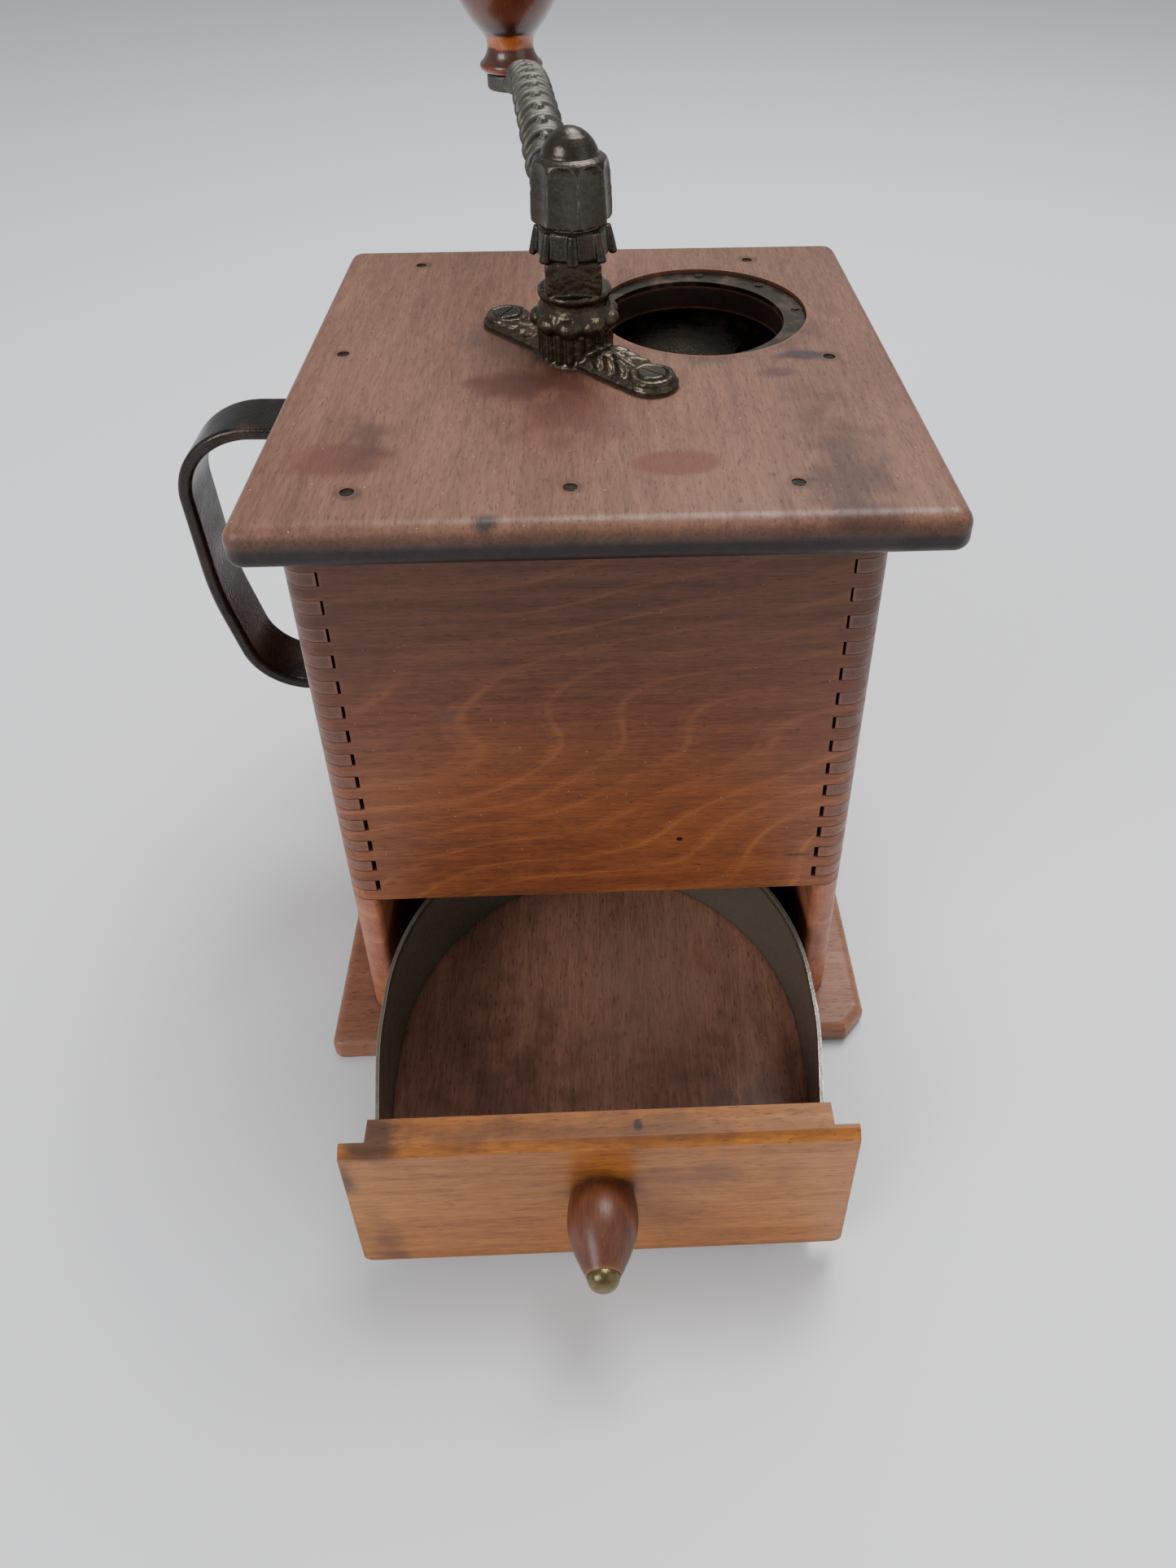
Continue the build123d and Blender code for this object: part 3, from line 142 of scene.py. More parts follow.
plank_grain, given, out = new_group(
    "plank_grain",
    (("Vector", "Vector", None), ("Light", "Color", (0.4, 0.2, 0.1, 1)),
     ("Dark", "Color", (0.2, 0.1, 0.05, 1)), ("Ring", "Color", (0.45, 0.2, 0.08, 1)),
     ("Figure", "Float", 0.5), ("Lean", "Vector", (0, 0, 60)),
     ("Pores", "Float", 0.5), ("Specks", "Float", 0.3)),
    (("Color", "Color"), ("Roughness", "Float"), ("Height", "Float")))
fibre = stretched_noise(plank_grain, given["Vector"], (150, 1250, 1250), 3, 0.7)
streak = stretched_noise(plank_grain, given["Vector"], (16, 340, 340), 4, 0.6)
cloud = stretched_noise(plank_grain, given["Vector"], (13, 34, 34), 3, 0.55)
growth = stretched_noise(plank_grain, given["Vector"], (9, 16, 16), 1.0, 0.4)
tone = put(plank_grain, "Math", {0: ramp_range(plank_grain, fibre, 0.36, 0.64, 0.0, 0.46),
                                 1: ramp_range(plank_grain, streak, 0.34, 0.66, 0.0, 0.34)},
           operation="ADD")[0]
tone = put(plank_grain, "Math", {0: tone, 1: ramp_range(plank_grain, cloud, 0.36, 0.64, 0.0, 0.30)},
           operation="ADD")[0]
colour = blend_colours(plank_grain, tone, given["Dark"], given["Light"])
layers = put(plank_grain, "VectorMath", {0: given["Vector"], 1: given["Lean"]},
             operation="DOT_PRODUCT")["Value"]
ring_count = put(plank_grain, "Math", {0: layers, 1: times(plank_grain, growth, 6.0)}, operation="ADD")[0]
ring_wave = put(plank_grain, "Math", {0: ring_count}, operation="FRACT")[0]
ring_line = put(plank_grain, "Math", {0: ring_wave, 1: 0.82}, operation="SUBTRACT")[0]
ring_line = put(plank_grain, "Math", {0: ring_line}, operation="ABSOLUTE")[0]
ring_line = put(plank_grain, "MapRange", {0: ring_line, 1: 0.10, 2: 0.0}, interpolation_type="SMOOTHSTEP")[0]
ring_shade = ramp_range(plank_grain, ring_wave, 0.95, 0.25, 0.0, 0.45)
ring_break = ramp_range(plank_grain, stretched_noise(plank_grain, given["Vector"], (30, 60, 60), 3),
                        0.35, 0.65, 0.1, 1.0)
colour = blend_colours(plank_grain, times(plank_grain, ring_shade, given["Figure"]), colour, given["Dark"])
colour = blend_colours(plank_grain, times(plank_grain, times(plank_grain, ring_line, ring_break),
                                          given["Figure"]), colour, given["Ring"])
pore = ramp_range(plank_grain, stretched_noise(plank_grain, given["Vector"], (330, 1500, 1500), 1),
                  0.62, 0.72)
colour = blend_colours(plank_grain, times(plank_grain, pore, given["Pores"]), colour,
                       (0.035, 0.017, 0.012, 1))
speck = put(plank_grain, "TexVoronoi", {"Vector": given["Vector"], "Scale": 520.0})
speck_near = ramp_range(plank_grain, speck["Distance"], 0.10, 0.05)
speck_pick = ramp_range(plank_grain, put(plank_grain, "SeparateColor", {0: speck["Color"]})[0], 0.86, 0.9)
speck_mask = times(plank_grain, times(plank_grain, speck_near, speck_pick), given["Specks"])
colour = blend_colours(plank_grain, speck_mask, colour, (0.75, 0.62, 0.52, 1))
plank_grain.links.new(colour, out["Color"])
plank_grain.links.new(ramp_range(plank_grain, streak, 0.3, 0.7, 0.56, 0.40), out["Roughness"])
height = put(plank_grain, "Math", {0: fibre, 1: times(plank_grain, pore, -0.7)}, operation="ADD")[0]
plank_grain.links.new(height, out["Height"])

worn_edge, given, out = new_group(
    "worn_edge", (("Radius", "Float", 0.001), ("Sharpness", "Float", 6.0)), (("Mask", "Float"),))
rounded = put(worn_edge, "Bevel", {"Radius": given["Radius"]}, samples=6)[0]
facing = put(worn_edge, "NewGeometry", {})["Normal"]
turned_by = put(worn_edge, "VectorMath", {0: rounded, 1: facing}, operation="DOT_PRODUCT")["Value"]
edge = times(worn_edge, put(worn_edge, "Math", {0: 1.0, 1: turned_by}, operation="SUBTRACT")[0],
             given["Sharpness"])
edge_patch = put(worn_edge, "TexNoise", {"Vector": put(worn_edge, "TexCoord", {})["Object"], "Scale": 260.0,
                                         "Detail": 4.0})[0]
worn_edge.links.new(put(worn_edge, "Math", {
    0: edge, 1: ramp_range(worn_edge, edge_patch, 0.35, 0.6, 0.35, 1.3)},
    operation="MULTIPLY", use_clamp=True)[0], out["Mask"])

stain, given, out = new_group(
    "stain", (("Vector", "Vector", None), ("Centre", "Vector", (0, 0, 0)), ("Reach", "Vector", (1, 1, 1)),
              ("Ragged", "Float", 0.3)), (("Mask", "Float"),))
away = put(stain, "VectorMath", {0: given["Vector"], 1: given["Centre"]}, operation="SUBTRACT")[0]
away = put(stain, "VectorMath", {0: away, 1: given["Reach"]}, operation="DIVIDE")[0]
far = put(stain, "VectorMath", {0: away}, operation="LENGTH")["Value"]
fray = put(stain, "TexNoise", {"Vector": given["Vector"], "Scale": 110.0, "Detail": 3.0,
                               "Roughness": 0.45})[0]
far = put(stain, "Math", {0: far, 1: times(stain, ramp_range(stain, fray, 0.3, 0.7, -1.0, 1.0),
                                           given["Ragged"])}, operation="ADD")[0]
soft = times(stain, given["Ragged"], 1.2)
stain.links.new(put(stain, "MapRange", {
    0: far, 1: put(stain, "Math", {0: 1.0, 1: soft}, operation="ADD")[0],
    2: put(stain, "Math", {0: 0.9, 1: soft}, operation="SUBTRACT")[0], 3: 0.0, 4: 1.0},
    interpolation_type="SMOOTHSTEP")[0], out["Mask"])

crevice, given, out = new_group(
    "crevice", (("Distance", "Float", 0.004), ("Strength", "Float", 1.0)), (("Mask", "Float"),))
open_sky = put(crevice, "AmbientOcclusion", {"Distance": given["Distance"]}, samples=8)["AO"]
crevice.links.new(times(crevice, ramp_range(crevice, open_sky, 0.75, 0.15), given["Strength"]), out["Mask"])


# The fingers run up the corners in even steps from the top of the drawer opening, at the front,
# and from the base board, at the back.
bay_top, finger_tall = 0.0692, 0.00475
finger_joints, given, out = new_group(
    "finger_joints", (("Vector", "Vector", None),), (("Line", "Float"), ("End", "Float")))
spread = put(finger_joints, "SeparateXYZ", {0: put(finger_joints, "VectorMath", {0: given["Vector"]},
                                                   operation="ABSOLUTE")[0]})
level_up = put(finger_joints, "SeparateXYZ", {0: given["Vector"]})["Z"]
risen = put(finger_joints, "Math", {0: level_up, 1: bay_top}, operation="SUBTRACT")[0]
count = put(finger_joints, "Math", {0: risen, 1: finger_tall}, operation="DIVIDE")[0]
count = put(finger_joints, "Math", {0: count, 1: 0.5}, operation="ADD")[0]
nearest = put(finger_joints, "Math", {0: count}, operation="FRACT")[0]
gap = put(finger_joints, "Math", {0: nearest, 1: 0.5}, operation="SUBTRACT")[0]
gap = put(finger_joints, "Math", {0: gap}, operation="ABSOLUTE")[0]
corner = times(finger_joints, ramp_range(finger_joints, spread["X"], 0.0700, 0.0706),
               ramp_range(finger_joints, spread["Y"], 0.0700, 0.0706))
behind = put(finger_joints, "SeparateXYZ", {0: given["Vector"]})["Y"]
joined = put(finger_joints, "Math", {
    0: ramp_range(finger_joints, level_up, bay_top - 0.0004, bay_top - 0.0001),
    1: ramp_range(finger_joints, behind, 0.0, 0.001)}, operation="MAXIMUM")[0]
corner = times(finger_joints, corner, joined)
finger_joints.links.new(times(finger_joints, ramp_range(finger_joints, gap, 0.085, 0.035), corner),
                        out["Line"])
finger_joints.links.new(times(finger_joints, ramp_range(finger_joints, spread["Y"], 0.0755, 0.0790), corner),
                        out["End"])


def wood(name, turn, light, dark, ring, figure, edge_colour, edge_amount, spots=(), pores=0.5, specks=0.3,
         wax=0.12, shade=None, edge_width=0.0022, lean=(0, 0, 60), fingers=None):
    """A waxed plank. turn lays the fibre along its board; a spot is its centre, reach, raggedness,
    colour and amount."""
    material = bpy.data.materials.new(name)
    material.use_nodes = True
    tree = material.node_tree
    place = put(tree, "TexCoord", {})["Object"]
    along = put(tree, "Mapping", {"Vector": place, "Rotation": turn})[0]
    grain = put(tree, "Group", {"Vector": along, "Light": light, "Dark": dark, "Ring": ring, "Figure": figure,
                                "Lean": lean, "Pores": pores, "Specks": specks}, node_tree=plank_grain)
    colour = grain["Color"]
    if shade:
        low, high, low_colour, high_colour = shade
        rise = put(tree, "SeparateXYZ", {0: place})["Z"]
        tint = blend_colours(tree, ramp_range(tree, rise, low, high), low_colour, high_colour)
        colour = blend_colours(tree, 1.0, colour, tint, "MULTIPLY")
    for centre, reach, ragged, spot_colour, amount in spots:
        mask = put(tree, "Group", {"Vector": place, "Centre": centre, "Reach": reach, "Ragged": ragged},
                   node_tree=stain)[0]
        colour = blend_colours(tree, times(tree, mask, amount), colour, spot_colour)
    if fingers:
        joints = put(tree, "Group", {"Vector": place}, node_tree=finger_joints)
        colour = blend_colours(tree, times(tree, joints["End"], fingers), colour, (0.030, 0.012, 0.008, 1))
        colour = blend_colours(tree, times(tree, joints["Line"], 0.85), colour, (0.012, 0.006, 0.005, 1))
    rubbed = put(tree, "Group", {"Radius": edge_width, "Sharpness": 5.0}, node_tree=worn_edge)[0]
    colour = blend_colours(tree, times(tree, rubbed, edge_amount), colour, edge_colour)
    # Painted shade: the wood is darkened nearly to black in corners and gaps, wherever the ambient occlusion
    # finds them.
    crevice_shade = put(tree, "Group", {"Distance": 0.005, "Strength": 0.6}, node_tree=crevice)[0]
    colour = blend_colours(tree, crevice_shade, colour, (0.02, 0.012, 0.01, 1))
    shader = tree.nodes["Principled BSDF"]
    tree.links.new(colour, shader.inputs["Base Color"])
    tree.links.new(grain["Roughness"], shader.inputs["Roughness"])
    shader.inputs["Coat Weight"].default_value = wax
    shader.inputs["Coat Roughness"].default_value = 0.3
    shader.inputs["Specular IOR Level"].default_value = 0.35
    tree.links.new(put(tree, "Bump", {"Height": grain["Height"], "Strength": 0.35, "Distance": 0.0002})[0],
                   shader.inputs["Normal"])
    return material


def dress(material, *nodes):
    """Gives these CAD pieces this material in their own slot."""
    for name in nodes:
        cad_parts[name].material_slots[0].material = material


side_to_side = (0.0, 0.0, 0.0)
front_to_back = (0.0, 0.0, math.radians(90))
upright = (0.0, math.radians(90), 0.0)
base_wood = wood("base_birch", side_to_side, (0.33, 0.140, 0.073, 1), (0.155, 0.060, 0.036, 1),
                 (0.36, 0.16, 0.08, 1), 0.3, (0.50, 0.26, 0.13, 1), 0.75)
dress(base_wood, "base_board")


# Steel screws and nails: dark, dull, a little brown, with rubbed edges.
old_metal, given, out = new_group(
    "old_metal",
    (("Vector", "Vector", None), ("Deep", "Color", (0.05, 0.045, 0.04, 1)),
     ("Rubbed", "Color", (0.4, 0.36, 0.28, 1)), ("Rust", "Color", (0.12, 0.05, 0.02, 1)),
     ("Rust Amount", "Float", 0.3), ("Rubbing", "Float", 0.7),
     ("Edge Radius", "Float", 0.0007), ("Pitting", "Float", 0.5)),
    (("Color", "Color"), ("Roughness", "Float"), ("Height", "Float"), ("Metallic", "Float")))
patch = put(old_metal, "TexNoise", {"Vector": given["Vector"], "Scale": 95.0, "Detail": 4.0,
                                    "Roughness": 0.6})[0]
skin = put(old_metal, "TexNoise", {"Vector": given["Vector"], "Scale": 1100.0, "Detail": 3.0})[0]
pit = put(old_metal, "TexVoronoi", {"Vector": given["Vector"], "Scale": 700.0})["Distance"]
rub = times(old_metal, put(old_metal, "Group", {"Radius": given["Edge Radius"], "Sharpness": 8.0},
                           node_tree=worn_edge)[0], given["Rubbing"])
rust_mask = times(old_metal, ramp_range(old_metal, patch, 0.5, 0.68), given["Rust Amount"])
colour = blend_colours(old_metal, rust_mask, given["Deep"], given["Rust"])
colour = blend_colours(old_metal, ramp_range(old_metal, skin, 0.40, 0.80, 0.0, 0.12), colour, given["Rubbed"])
colour = blend_colours(old_metal, rub, colour, given["Rubbed"])
old_metal.links.new(colour, out["Color"])
rough = put(old_metal, "Math", {0: ramp_range(old_metal, patch, 0.3, 0.7, 0.22, 0.42),
                                1: times(old_metal, rub, -0.16)}, operation="ADD")[0]
old_metal.links.new(rough, out["Roughness"])
old_metal.links.new(ramp_range(old_metal, rust_mask, 0.0, 1.0, 0.92, 0.25), out["Metallic"])
pitted = times(old_metal, ramp_range(old_metal, pit, 0.0, 0.35, -1.0, 0.0), given["Pitting"])
old_metal.links.new(put(old_metal, "Math", {0: skin, 1: pitted}, operation="ADD")[0], out["Height"])


def metal(name, deep, rubbed, rust=(0.10, 0.045, 0.02, 1), rust_amount=0.3, rubbing=0.7, edge_radius=0.0007,
          pitting=0.5, dust=0.0, bump=0.0002, shine=1.0):
    """Old metal with rubbed edges, rust and, where dust is given, grey dust in its corners."""
    material = bpy.data.materials.new(name)
    material.use_nodes = True
    tree = material.node_tree
    place = put(tree, "TexCoord", {})["Object"]
    face = put(tree, "Group", {"Vector": place, "Deep": deep, "Rubbed": rubbed, "Rust": rust,
                               "Rust Amount": rust_amount, "Rubbing": rubbing, "Edge Radius": edge_radius,
                               "Pitting": pitting}, node_tree=old_metal)
    colour, metallic, roughness = face["Color"], times(tree, face["Metallic"], shine), face["Roughness"]
    if dust:
        settled = put(tree, "Group", {"Distance": 0.003, "Strength": dust}, node_tree=crevice)[0]
        colour = blend_colours(tree, settled, colour, (0.20, 0.18, 0.155, 1))
        metallic = times(tree, metallic, ramp_range(tree, settled, 0.0, 0.6, 1.0, 0.2))
        roughness = put(tree, "Math", {0: roughness, 1: times(tree, settled, 0.35)}, operation="ADD")[0]
    shader = tree.nodes["Principled BSDF"]
    tree.links.new(colour, shader.inputs["Base Color"])
    tree.links.new(metallic, shader.inputs["Metallic"])
    tree.links.new(roughness, shader.inputs["Roughness"])
    tree.links.new(put(tree, "Bump", {"Height": face["Height"], "Strength": 0.5, "Distance": bump})[0],
                   shader.inputs["Normal"])
    return material


dull_steel = metal("dull_steel", (0.040, 0.036, 0.032, 1), (0.22, 0.20, 0.16, 1))
dress(dull_steel, "base_screws")

# ---- Walls ----
# Four birch boards with their grain level, joined at the corners by thirty glued fingers.
# The front one stops above the drawer. They are painted dark above and orange below: partly the wear of wax
# and handling, partly painted light bounced up from the table onto their lower part and painted shade on
# their upper part.
wall_shade = (0.078, 0.185, (2.2, 2.1, 2.0, 1), (0.64, 0.60, 0.62, 1))
front_spots = (((0.0261, -0.08, 0.0941), (0.0011, 0.004, 0.0009), 0.2, (0.01, 0.006, 0.005, 1), 1.0),
               ((0.0634, -0.08, 0.0849), (0.0035, 0.004, 0.0006), 0.4, (0.05, 0.02, 0.012, 1), 0.8),
               ((-0.042, -0.08, 0.150), (0.004, 0.004, 0.0025), 0.5, (0.10, 0.045, 0.03, 1), 0.6))
front_wood = wood("front_birch", side_to_side, (0.170, 0.056, 0.019, 1), (0.055, 0.016, 0.008, 1),
                  (0.205, 0.075, 0.025, 1), 0.5, (0.20, 0.07, 0.03, 1), 0.3, front_spots, 0.7, 0.3, 0.05,
                  shade=wall_shade, lean=(-34, 0, 70), fingers=0.01)
side_wood = wood("side_birch", front_to_back, (0.215, 0.082, 0.043, 1), (0.100, 0.036, 0.021, 1),
                 (0.26, 0.11, 0.05, 1), 0.5, (0.26, 0.105, 0.06, 1), 0.45, shade=wall_shade, lean=(20, 0, 70),
                 fingers=0.45)
dress(front_wood, "front_panel", "back_panel")
dress(side_wood, "left_side", "right_side")

# ---- Hopper ----
# A funnel folded from tinplate, its mouth tacked inside the walls and its neck on the burr shell.
tin = metal("tinplate", (0.19, 0.18, 0.145, 1), (0.48, 0.46, 0.38, 1), (0.09, 0.068, 0.042, 1), 0.6, 0.8,
            0.0006, 0.1, shine=0.6)
dark_tin = metal("dark_tin", (0.045, 0.038, 0.030, 1), (0.11, 0.09, 0.065, 1), (0.07, 0.035, 0.018, 1),
                 0.8, 0.5)
dress(dark_tin, "hopper")
dress(dull_steel, "hopper_tacks")

# ---- Burrs and bridge ----
# Grey cast iron: the fixed shell, the cone pinned on the spindle, and the bridge that steadies it.
plain_iron = metal("plain_iron", (0.050, 0.045, 0.038, 1), (0.24, 0.21, 0.17, 1), rust_amount=0.6)
dress(plain_iron, "grinding_shell", "grinding_cone", "bearing_bridge")
dress(dull_steel, "shell_screws", "bridge_screws", "cone_pin")

# ---- Top board ----
# A birch board with its grain from front to back, its edges worked round. It has faded in the
# light, and keeps red wax at its rim, stains by the iron, and a dark halo round each nail.
rust_red, iron_black = (0.075, 0.022, 0.016, 1), (0.012, 0.009, 0.010, 1)
top_spots = [((-0.0640, -0.060, 0.2235), (0.0130, 0.0090, 0.02), 0.25, (0.095, 0.026, 0.016, 1), 0.7),
             ((0.0234, -0.0644, 0.2235), (0.0120, 0.0062, 0.02), 0.12, (0.115, 0.032, 0.018, 1), 0.8),
             ((-0.0165, -0.0190, 0.2235), (0.0170, 0.0080, 0.02), 0.35, rust_red, 0.85),
             ((-0.0040, -0.0370, 0.2235), (0.0140, 0.0170, 0.02), 0.5, rust_red, 0.6),
             ((-0.0200, 0.0080, 0.2235), (0.0200, 0.0120, 0.02), 0.5, (0.035, 0.022, 0.02, 1), 0.5),
             ((0.0669, -0.0041, 0.2235), (0.0085, 0.0032, 0.02), 0.3, (0.022, 0.012, 0.016, 1), 0.85),
             ((0.0574, -0.0150, 0.2235), (0.0060, 0.0034, 0.02), 0.4, (0.045, 0.02, 0.017, 1), 0.6),
             ((-0.0591, -0.0500, 0.2235), (0.0060, 0.0120, 0.02), 0.6, (0.035, 0.017, 0.014, 1), 0.6),
             ((0.0680, -0.0720, 0.2235), (0.0090, 0.0340, 0.02), 0.6, (0.035, 0.017, 0.014, 1), 0.65),
             ((-0.0240, -0.0890, 0.2215), (0.0035, 0.0022, 0.02), 0.5, iron_black, 0.9),
             # This spot is painted shade in the bean hole: it darkens the wood nearly to black deep inside
             # the hole and fades out over the board round it.
             ((0.0363, 0.0292, 0.2100), (0.0600, 0.0600, 0.0160), 0.1, (0.020, 0.010, 0.007, 1), 1.0)]
for x, y in ((-0.060, -0.0753), (-0.004, -0.0753), (0.054, -0.0753), (-0.060, 0.0753), (-0.004, 0.0753),
             (0.060, 0.0753), (-0.0753, 0.003), (0.0753, -0.005)):
    top_spots.append(((x, y, 0.2235), (0.0034, 0.0030, 0.01), 0.3, iron_black, 0.7))
# The shade entry paints the board's edge faces, below the rounded rim, nearly black: partly dark end grain
# and grime, partly painted shade on faces turned away from the light.
top_wood = wood("top_birch", front_to_back, (0.205, 0.098, 0.060, 1), (0.085, 0.035, 0.022, 1),
                (0.22, 0.10, 0.055, 1), 0.25, (0.24, 0.085, 0.035, 1), 0.55, top_spots, 0.5, 0.7, 0.08,
                shade=(0.2170, 0.2220, (0.07, 0.05, 0.06, 1), (1.0, 1.0, 1.0, 1)), edge_width=0.0022,
                lean=(0, 90, 0))
dress(top_wood, "top_board")
dress(dull_steel, "top_nails", "ring_nails")

# The flat iron ring in the bean hole, grey-green with age and rusty at its inner edge.
ring_iron = metal("ring_iron", (0.060, 0.052, 0.038, 1), (0.15, 0.13, 0.095, 1), (0.11, 0.05, 0.025, 1),
                  0.6, 0.4)
dress(ring_iron, "fill_ring")


# ---- Spindle bracket ----
# One iron casting: two leafy ears, a reeded foot, a ring of nine lobes, a thin rim and a square
# block. It is bored for the spindle and held by two slotted screws in round bosses.
def only(thing):
    """Makes this the one selected object."""
    bpy.ops.object.select_all(action="DESELECT")
    thing.select_set(True)
    bpy.context.view_layer.objects.active = thing


def settle():
    """Puts the object's place, turn and size into its mesh."""
    bpy.ops.object.transform_apply(location=True, rotation=True, scale=True)
    return bpy.context.object


def turned(name, rings, sides=64):
    """A closed shape extruded upwards from a circle; rings are (height, half width, half depth)."""
    bpy.ops.object.select_all(action="DESELECT")
    height, wide, deep = rings[0]
    bpy.ops.mesh.primitive_circle_add(vertices=sides, radius=1.0, fill_type="NGON", location=(0, 0, height))
    made = bpy.context.object
    made.name = name
    made.scale = (wide, deep, 1.0)
    settle()
    bpy.ops.object.mode_set(mode="EDIT")
    bpy.ops.mesh.select_all(action="SELECT")
    for next_height, next_wide, next_deep in rings[1:]:
        bpy.ops.mesh.extrude_region_move(TRANSFORM_OT_translate={"value": (0, 0, next_height - height)})
        bpy.ops.transform.resize(value=(next_wide / wide, next_deep / deep, 1.0))
        height, wide, deep = next_height, next_wide, next_deep
    bpy.ops.mesh.select_all(action="SELECT")
    bpy.ops.mesh.normals_make_consistent(inside=False)
    bpy.ops.object.mode_set(mode="OBJECT")
    return made


def pebble(place, reach, turn=(0.0, 0.0, 0.0)):
    """A smooth lump of that half size in each direction."""
    bpy.ops.object.select_all(action="DESELECT")
    bpy.ops.mesh.primitive_uv_sphere_add(segments=20, ring_count=12, radius=1.0, location=place,
                                         rotation=turn, scale=reach)
    return settle()


def run_modifier(thing, kind, **settings):
    only(thing)
    step = thing.modifiers.new(kind.lower(), kind)
    for name, value in settings.items():
        setattr(step, name, value)
    bpy.ops.object.modifier_apply(modifier=step.name)


def cast_in_one(name, pieces, grain_size, softening):
    """Joins pieces and melts them into one skin, as one casting."""
    only(pieces[0])
    for piece in pieces[1:]:
        piece.select_set(True)
    bpy.ops.object.join()
    made = bpy.context.object
    made.name = name
    run_modifier(made, "REMESH", mode="VOXEL", voxel_size=grain_size)
    run_modifier(made, "SMOOTH", factor=0.5, iterations=softening)
    return made


def cut_away(thing, cutter):
    run_modifier(thing, "BOOLEAN", operation="DIFFERENCE", object=cutter, solver="EXACT")
    bpy.data.objects.remove(cutter)


def turn_and_place(thing, angle, place):
    only(thing)
    thing.rotation_euler = (0, 0, angle)
    thing.location = place
    settle()
    bpy.ops.object.shade_smooth()


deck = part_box("top_board")[1].z
axis_x, axis_y = -0.0028, 0.0002
block_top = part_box("spindle_bracket")[1].z - deck
ear_reach, ear_half, ear_thick = 0.0315, 0.0080, 0.0030
ears = turned("ears", ((0.0, ear_half, ear_half), (0.0016, ear_half, ear_half),
                       (ear_thick, ear_half * 0.86, ear_half * 0.84)), 48)
only(ears)
bpy.ops.object.mode_set(mode="EDIT")
for side in (-1, 1):
    bpy.ops.mesh.select_all(action="DESELECT")
    bpy.ops.object.mode_set(mode="OBJECT")
    for vertex in ears.data.vertices:
        vertex.select = vertex.co.x * side > -1e-6 and abs(vertex.co.x) < 0.02
    bpy.ops.object.mode_set(mode="EDIT")
    bpy.ops.transform.translate(value=(side * ear_reach, 0, 0))
bpy.ops.object.mode_set(mode="OBJECT")
bracket_pieces = [ears]
for side in (-1, 1):
    boss = turned("boss", ((0.001, 0.0075, 0.0075), (0.0036, 0.0070, 0.0070), (0.0044, 0.0063, 0.0063),
                           (0.0044, 0.0048, 0.0048), (0.0031, 0.0046, 0.0046)), 40)
    boss.location.x = side * ear_reach
    only(boss)
    settle()
    bracket_pieces.append(boss)
    for step in range(3):
        for half in (-1, 1):
            bracket_pieces.append(pebble(
                (side * (0.0125 + 0.0044 * step), half * (0.0040 - 0.0004 * step), ear_thick + 0.0004),
                (0.0054, 0.0017, 0.0021 - 0.0002 * step), (0, 0, half * side * math.radians(32))))
    bracket_pieces.append(pebble((side * 0.017, 0, ear_thick), (0.0100, 0.0017, 0.0023)))
    bracket_pieces.append(pebble((side * 0.012, 0, ear_thick - 0.0004), (0.0070, 0.0068, 0.0030)))
bracket_pieces.append(turned("tower", (
    (0.0, 0.0116, 0.0116), (0.0010, 0.0112, 0.0112), (0.0016, 0.0104, 0.0104), (0.0098, 0.0102, 0.0102),
    (0.0106, 0.0110, 0.0110), (0.0118, 0.0119, 0.0119), (0.0134, 0.0122, 0.0122), (0.0152, 0.0119, 0.0119),
    (0.0166, 0.0110, 0.0110), (0.0184, 0.0104, 0.0104), (0.0198, 0.0103, 0.0103), (0.0208, 0.0109, 0.0109),
    (0.0213, 0.0112, 0.0112), (0.0222, 0.0112, 0.0112), (0.0227, 0.0107, 0.0107), (0.0230, 0.0080, 0.0080))))
reeds, reed_circle, lobes, lobe_circle = 20, 0.0104, 9, 0.0103
for reed in range(reeds):
    angle = 2 * math.pi * reed / reeds
    rod = turned("reed", ((0.0012, 0.0010, 0.0010), (0.0020, 0.0015, 0.0012), (0.0104, 0.0015, 0.0012)), 12)
    rod.rotation_euler.z = angle + math.pi / 2
    rod.location = (reed_circle * math.cos(angle), reed_circle * math.sin(angle), 0)
    only(rod)
    settle()
    bracket_pieces.append(rod)
for lobe in range(lobes):
    angle = 2 * math.pi * (lobe + 0.15) / lobes
    bracket_pieces.append(pebble((lobe_circle * math.cos(angle), lobe_circle * math.sin(angle), 0.0132),
                                 (0.0036, 0.0042, 0.0032), (0, 0, angle)))
block_foot = 0.0225
bpy.ops.mesh.primitive_cube_add(size=1.0, location=(0, 0, (block_foot + block_top) / 2),
                                scale=(0.0172, 0.0165, block_top - block_foot))
block = settle()
block.rotation_euler.z = math.radians(-45)
settle()
run_modifier(block, "BEVEL", width=0.0010, segments=3)
bracket_pieces.append(block)
bracket = cast_in_one("bracket_casting", bracket_pieces, 0.00034, 2)
rough_skin = bpy.data.textures.new("rough_skin", "CLOUDS")
rough_skin.noise_scale = 0.0022
rough_skin.noise_depth = 3
run_modifier(bracket, "DISPLACE", texture=rough_skin, texture_coords="LOCAL", strength=0.0005, mid_level=0.5)
cut_away(bracket, turned("spindle_bore", ((-0.002, 0.0046, 0.0046), (0.05, 0.0046, 0.0046)), 48))
ears_heading = math.radians(135)
turn_and_place(bracket, ears_heading, (axis_x, axis_y, deck))
bracket_iron = metal("bracket_iron", (0.058, 0.048, 0.034, 1), (0.30, 0.24, 0.15, 1), rust_amount=0.2,
                     rubbing=0.8, edge_radius=0.0009, dust=0.5)
bracket.data.materials.clear()
bracket.data.materials.append(bracket_iron)
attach(bracket, "case")
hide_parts("spindle_bracket")
dress(metal("bracket_screw_iron", (0.055, 0.048, 0.038, 1), (0.24, 0.21, 0.15, 1), dust=0.4),
      "bracket_screws")

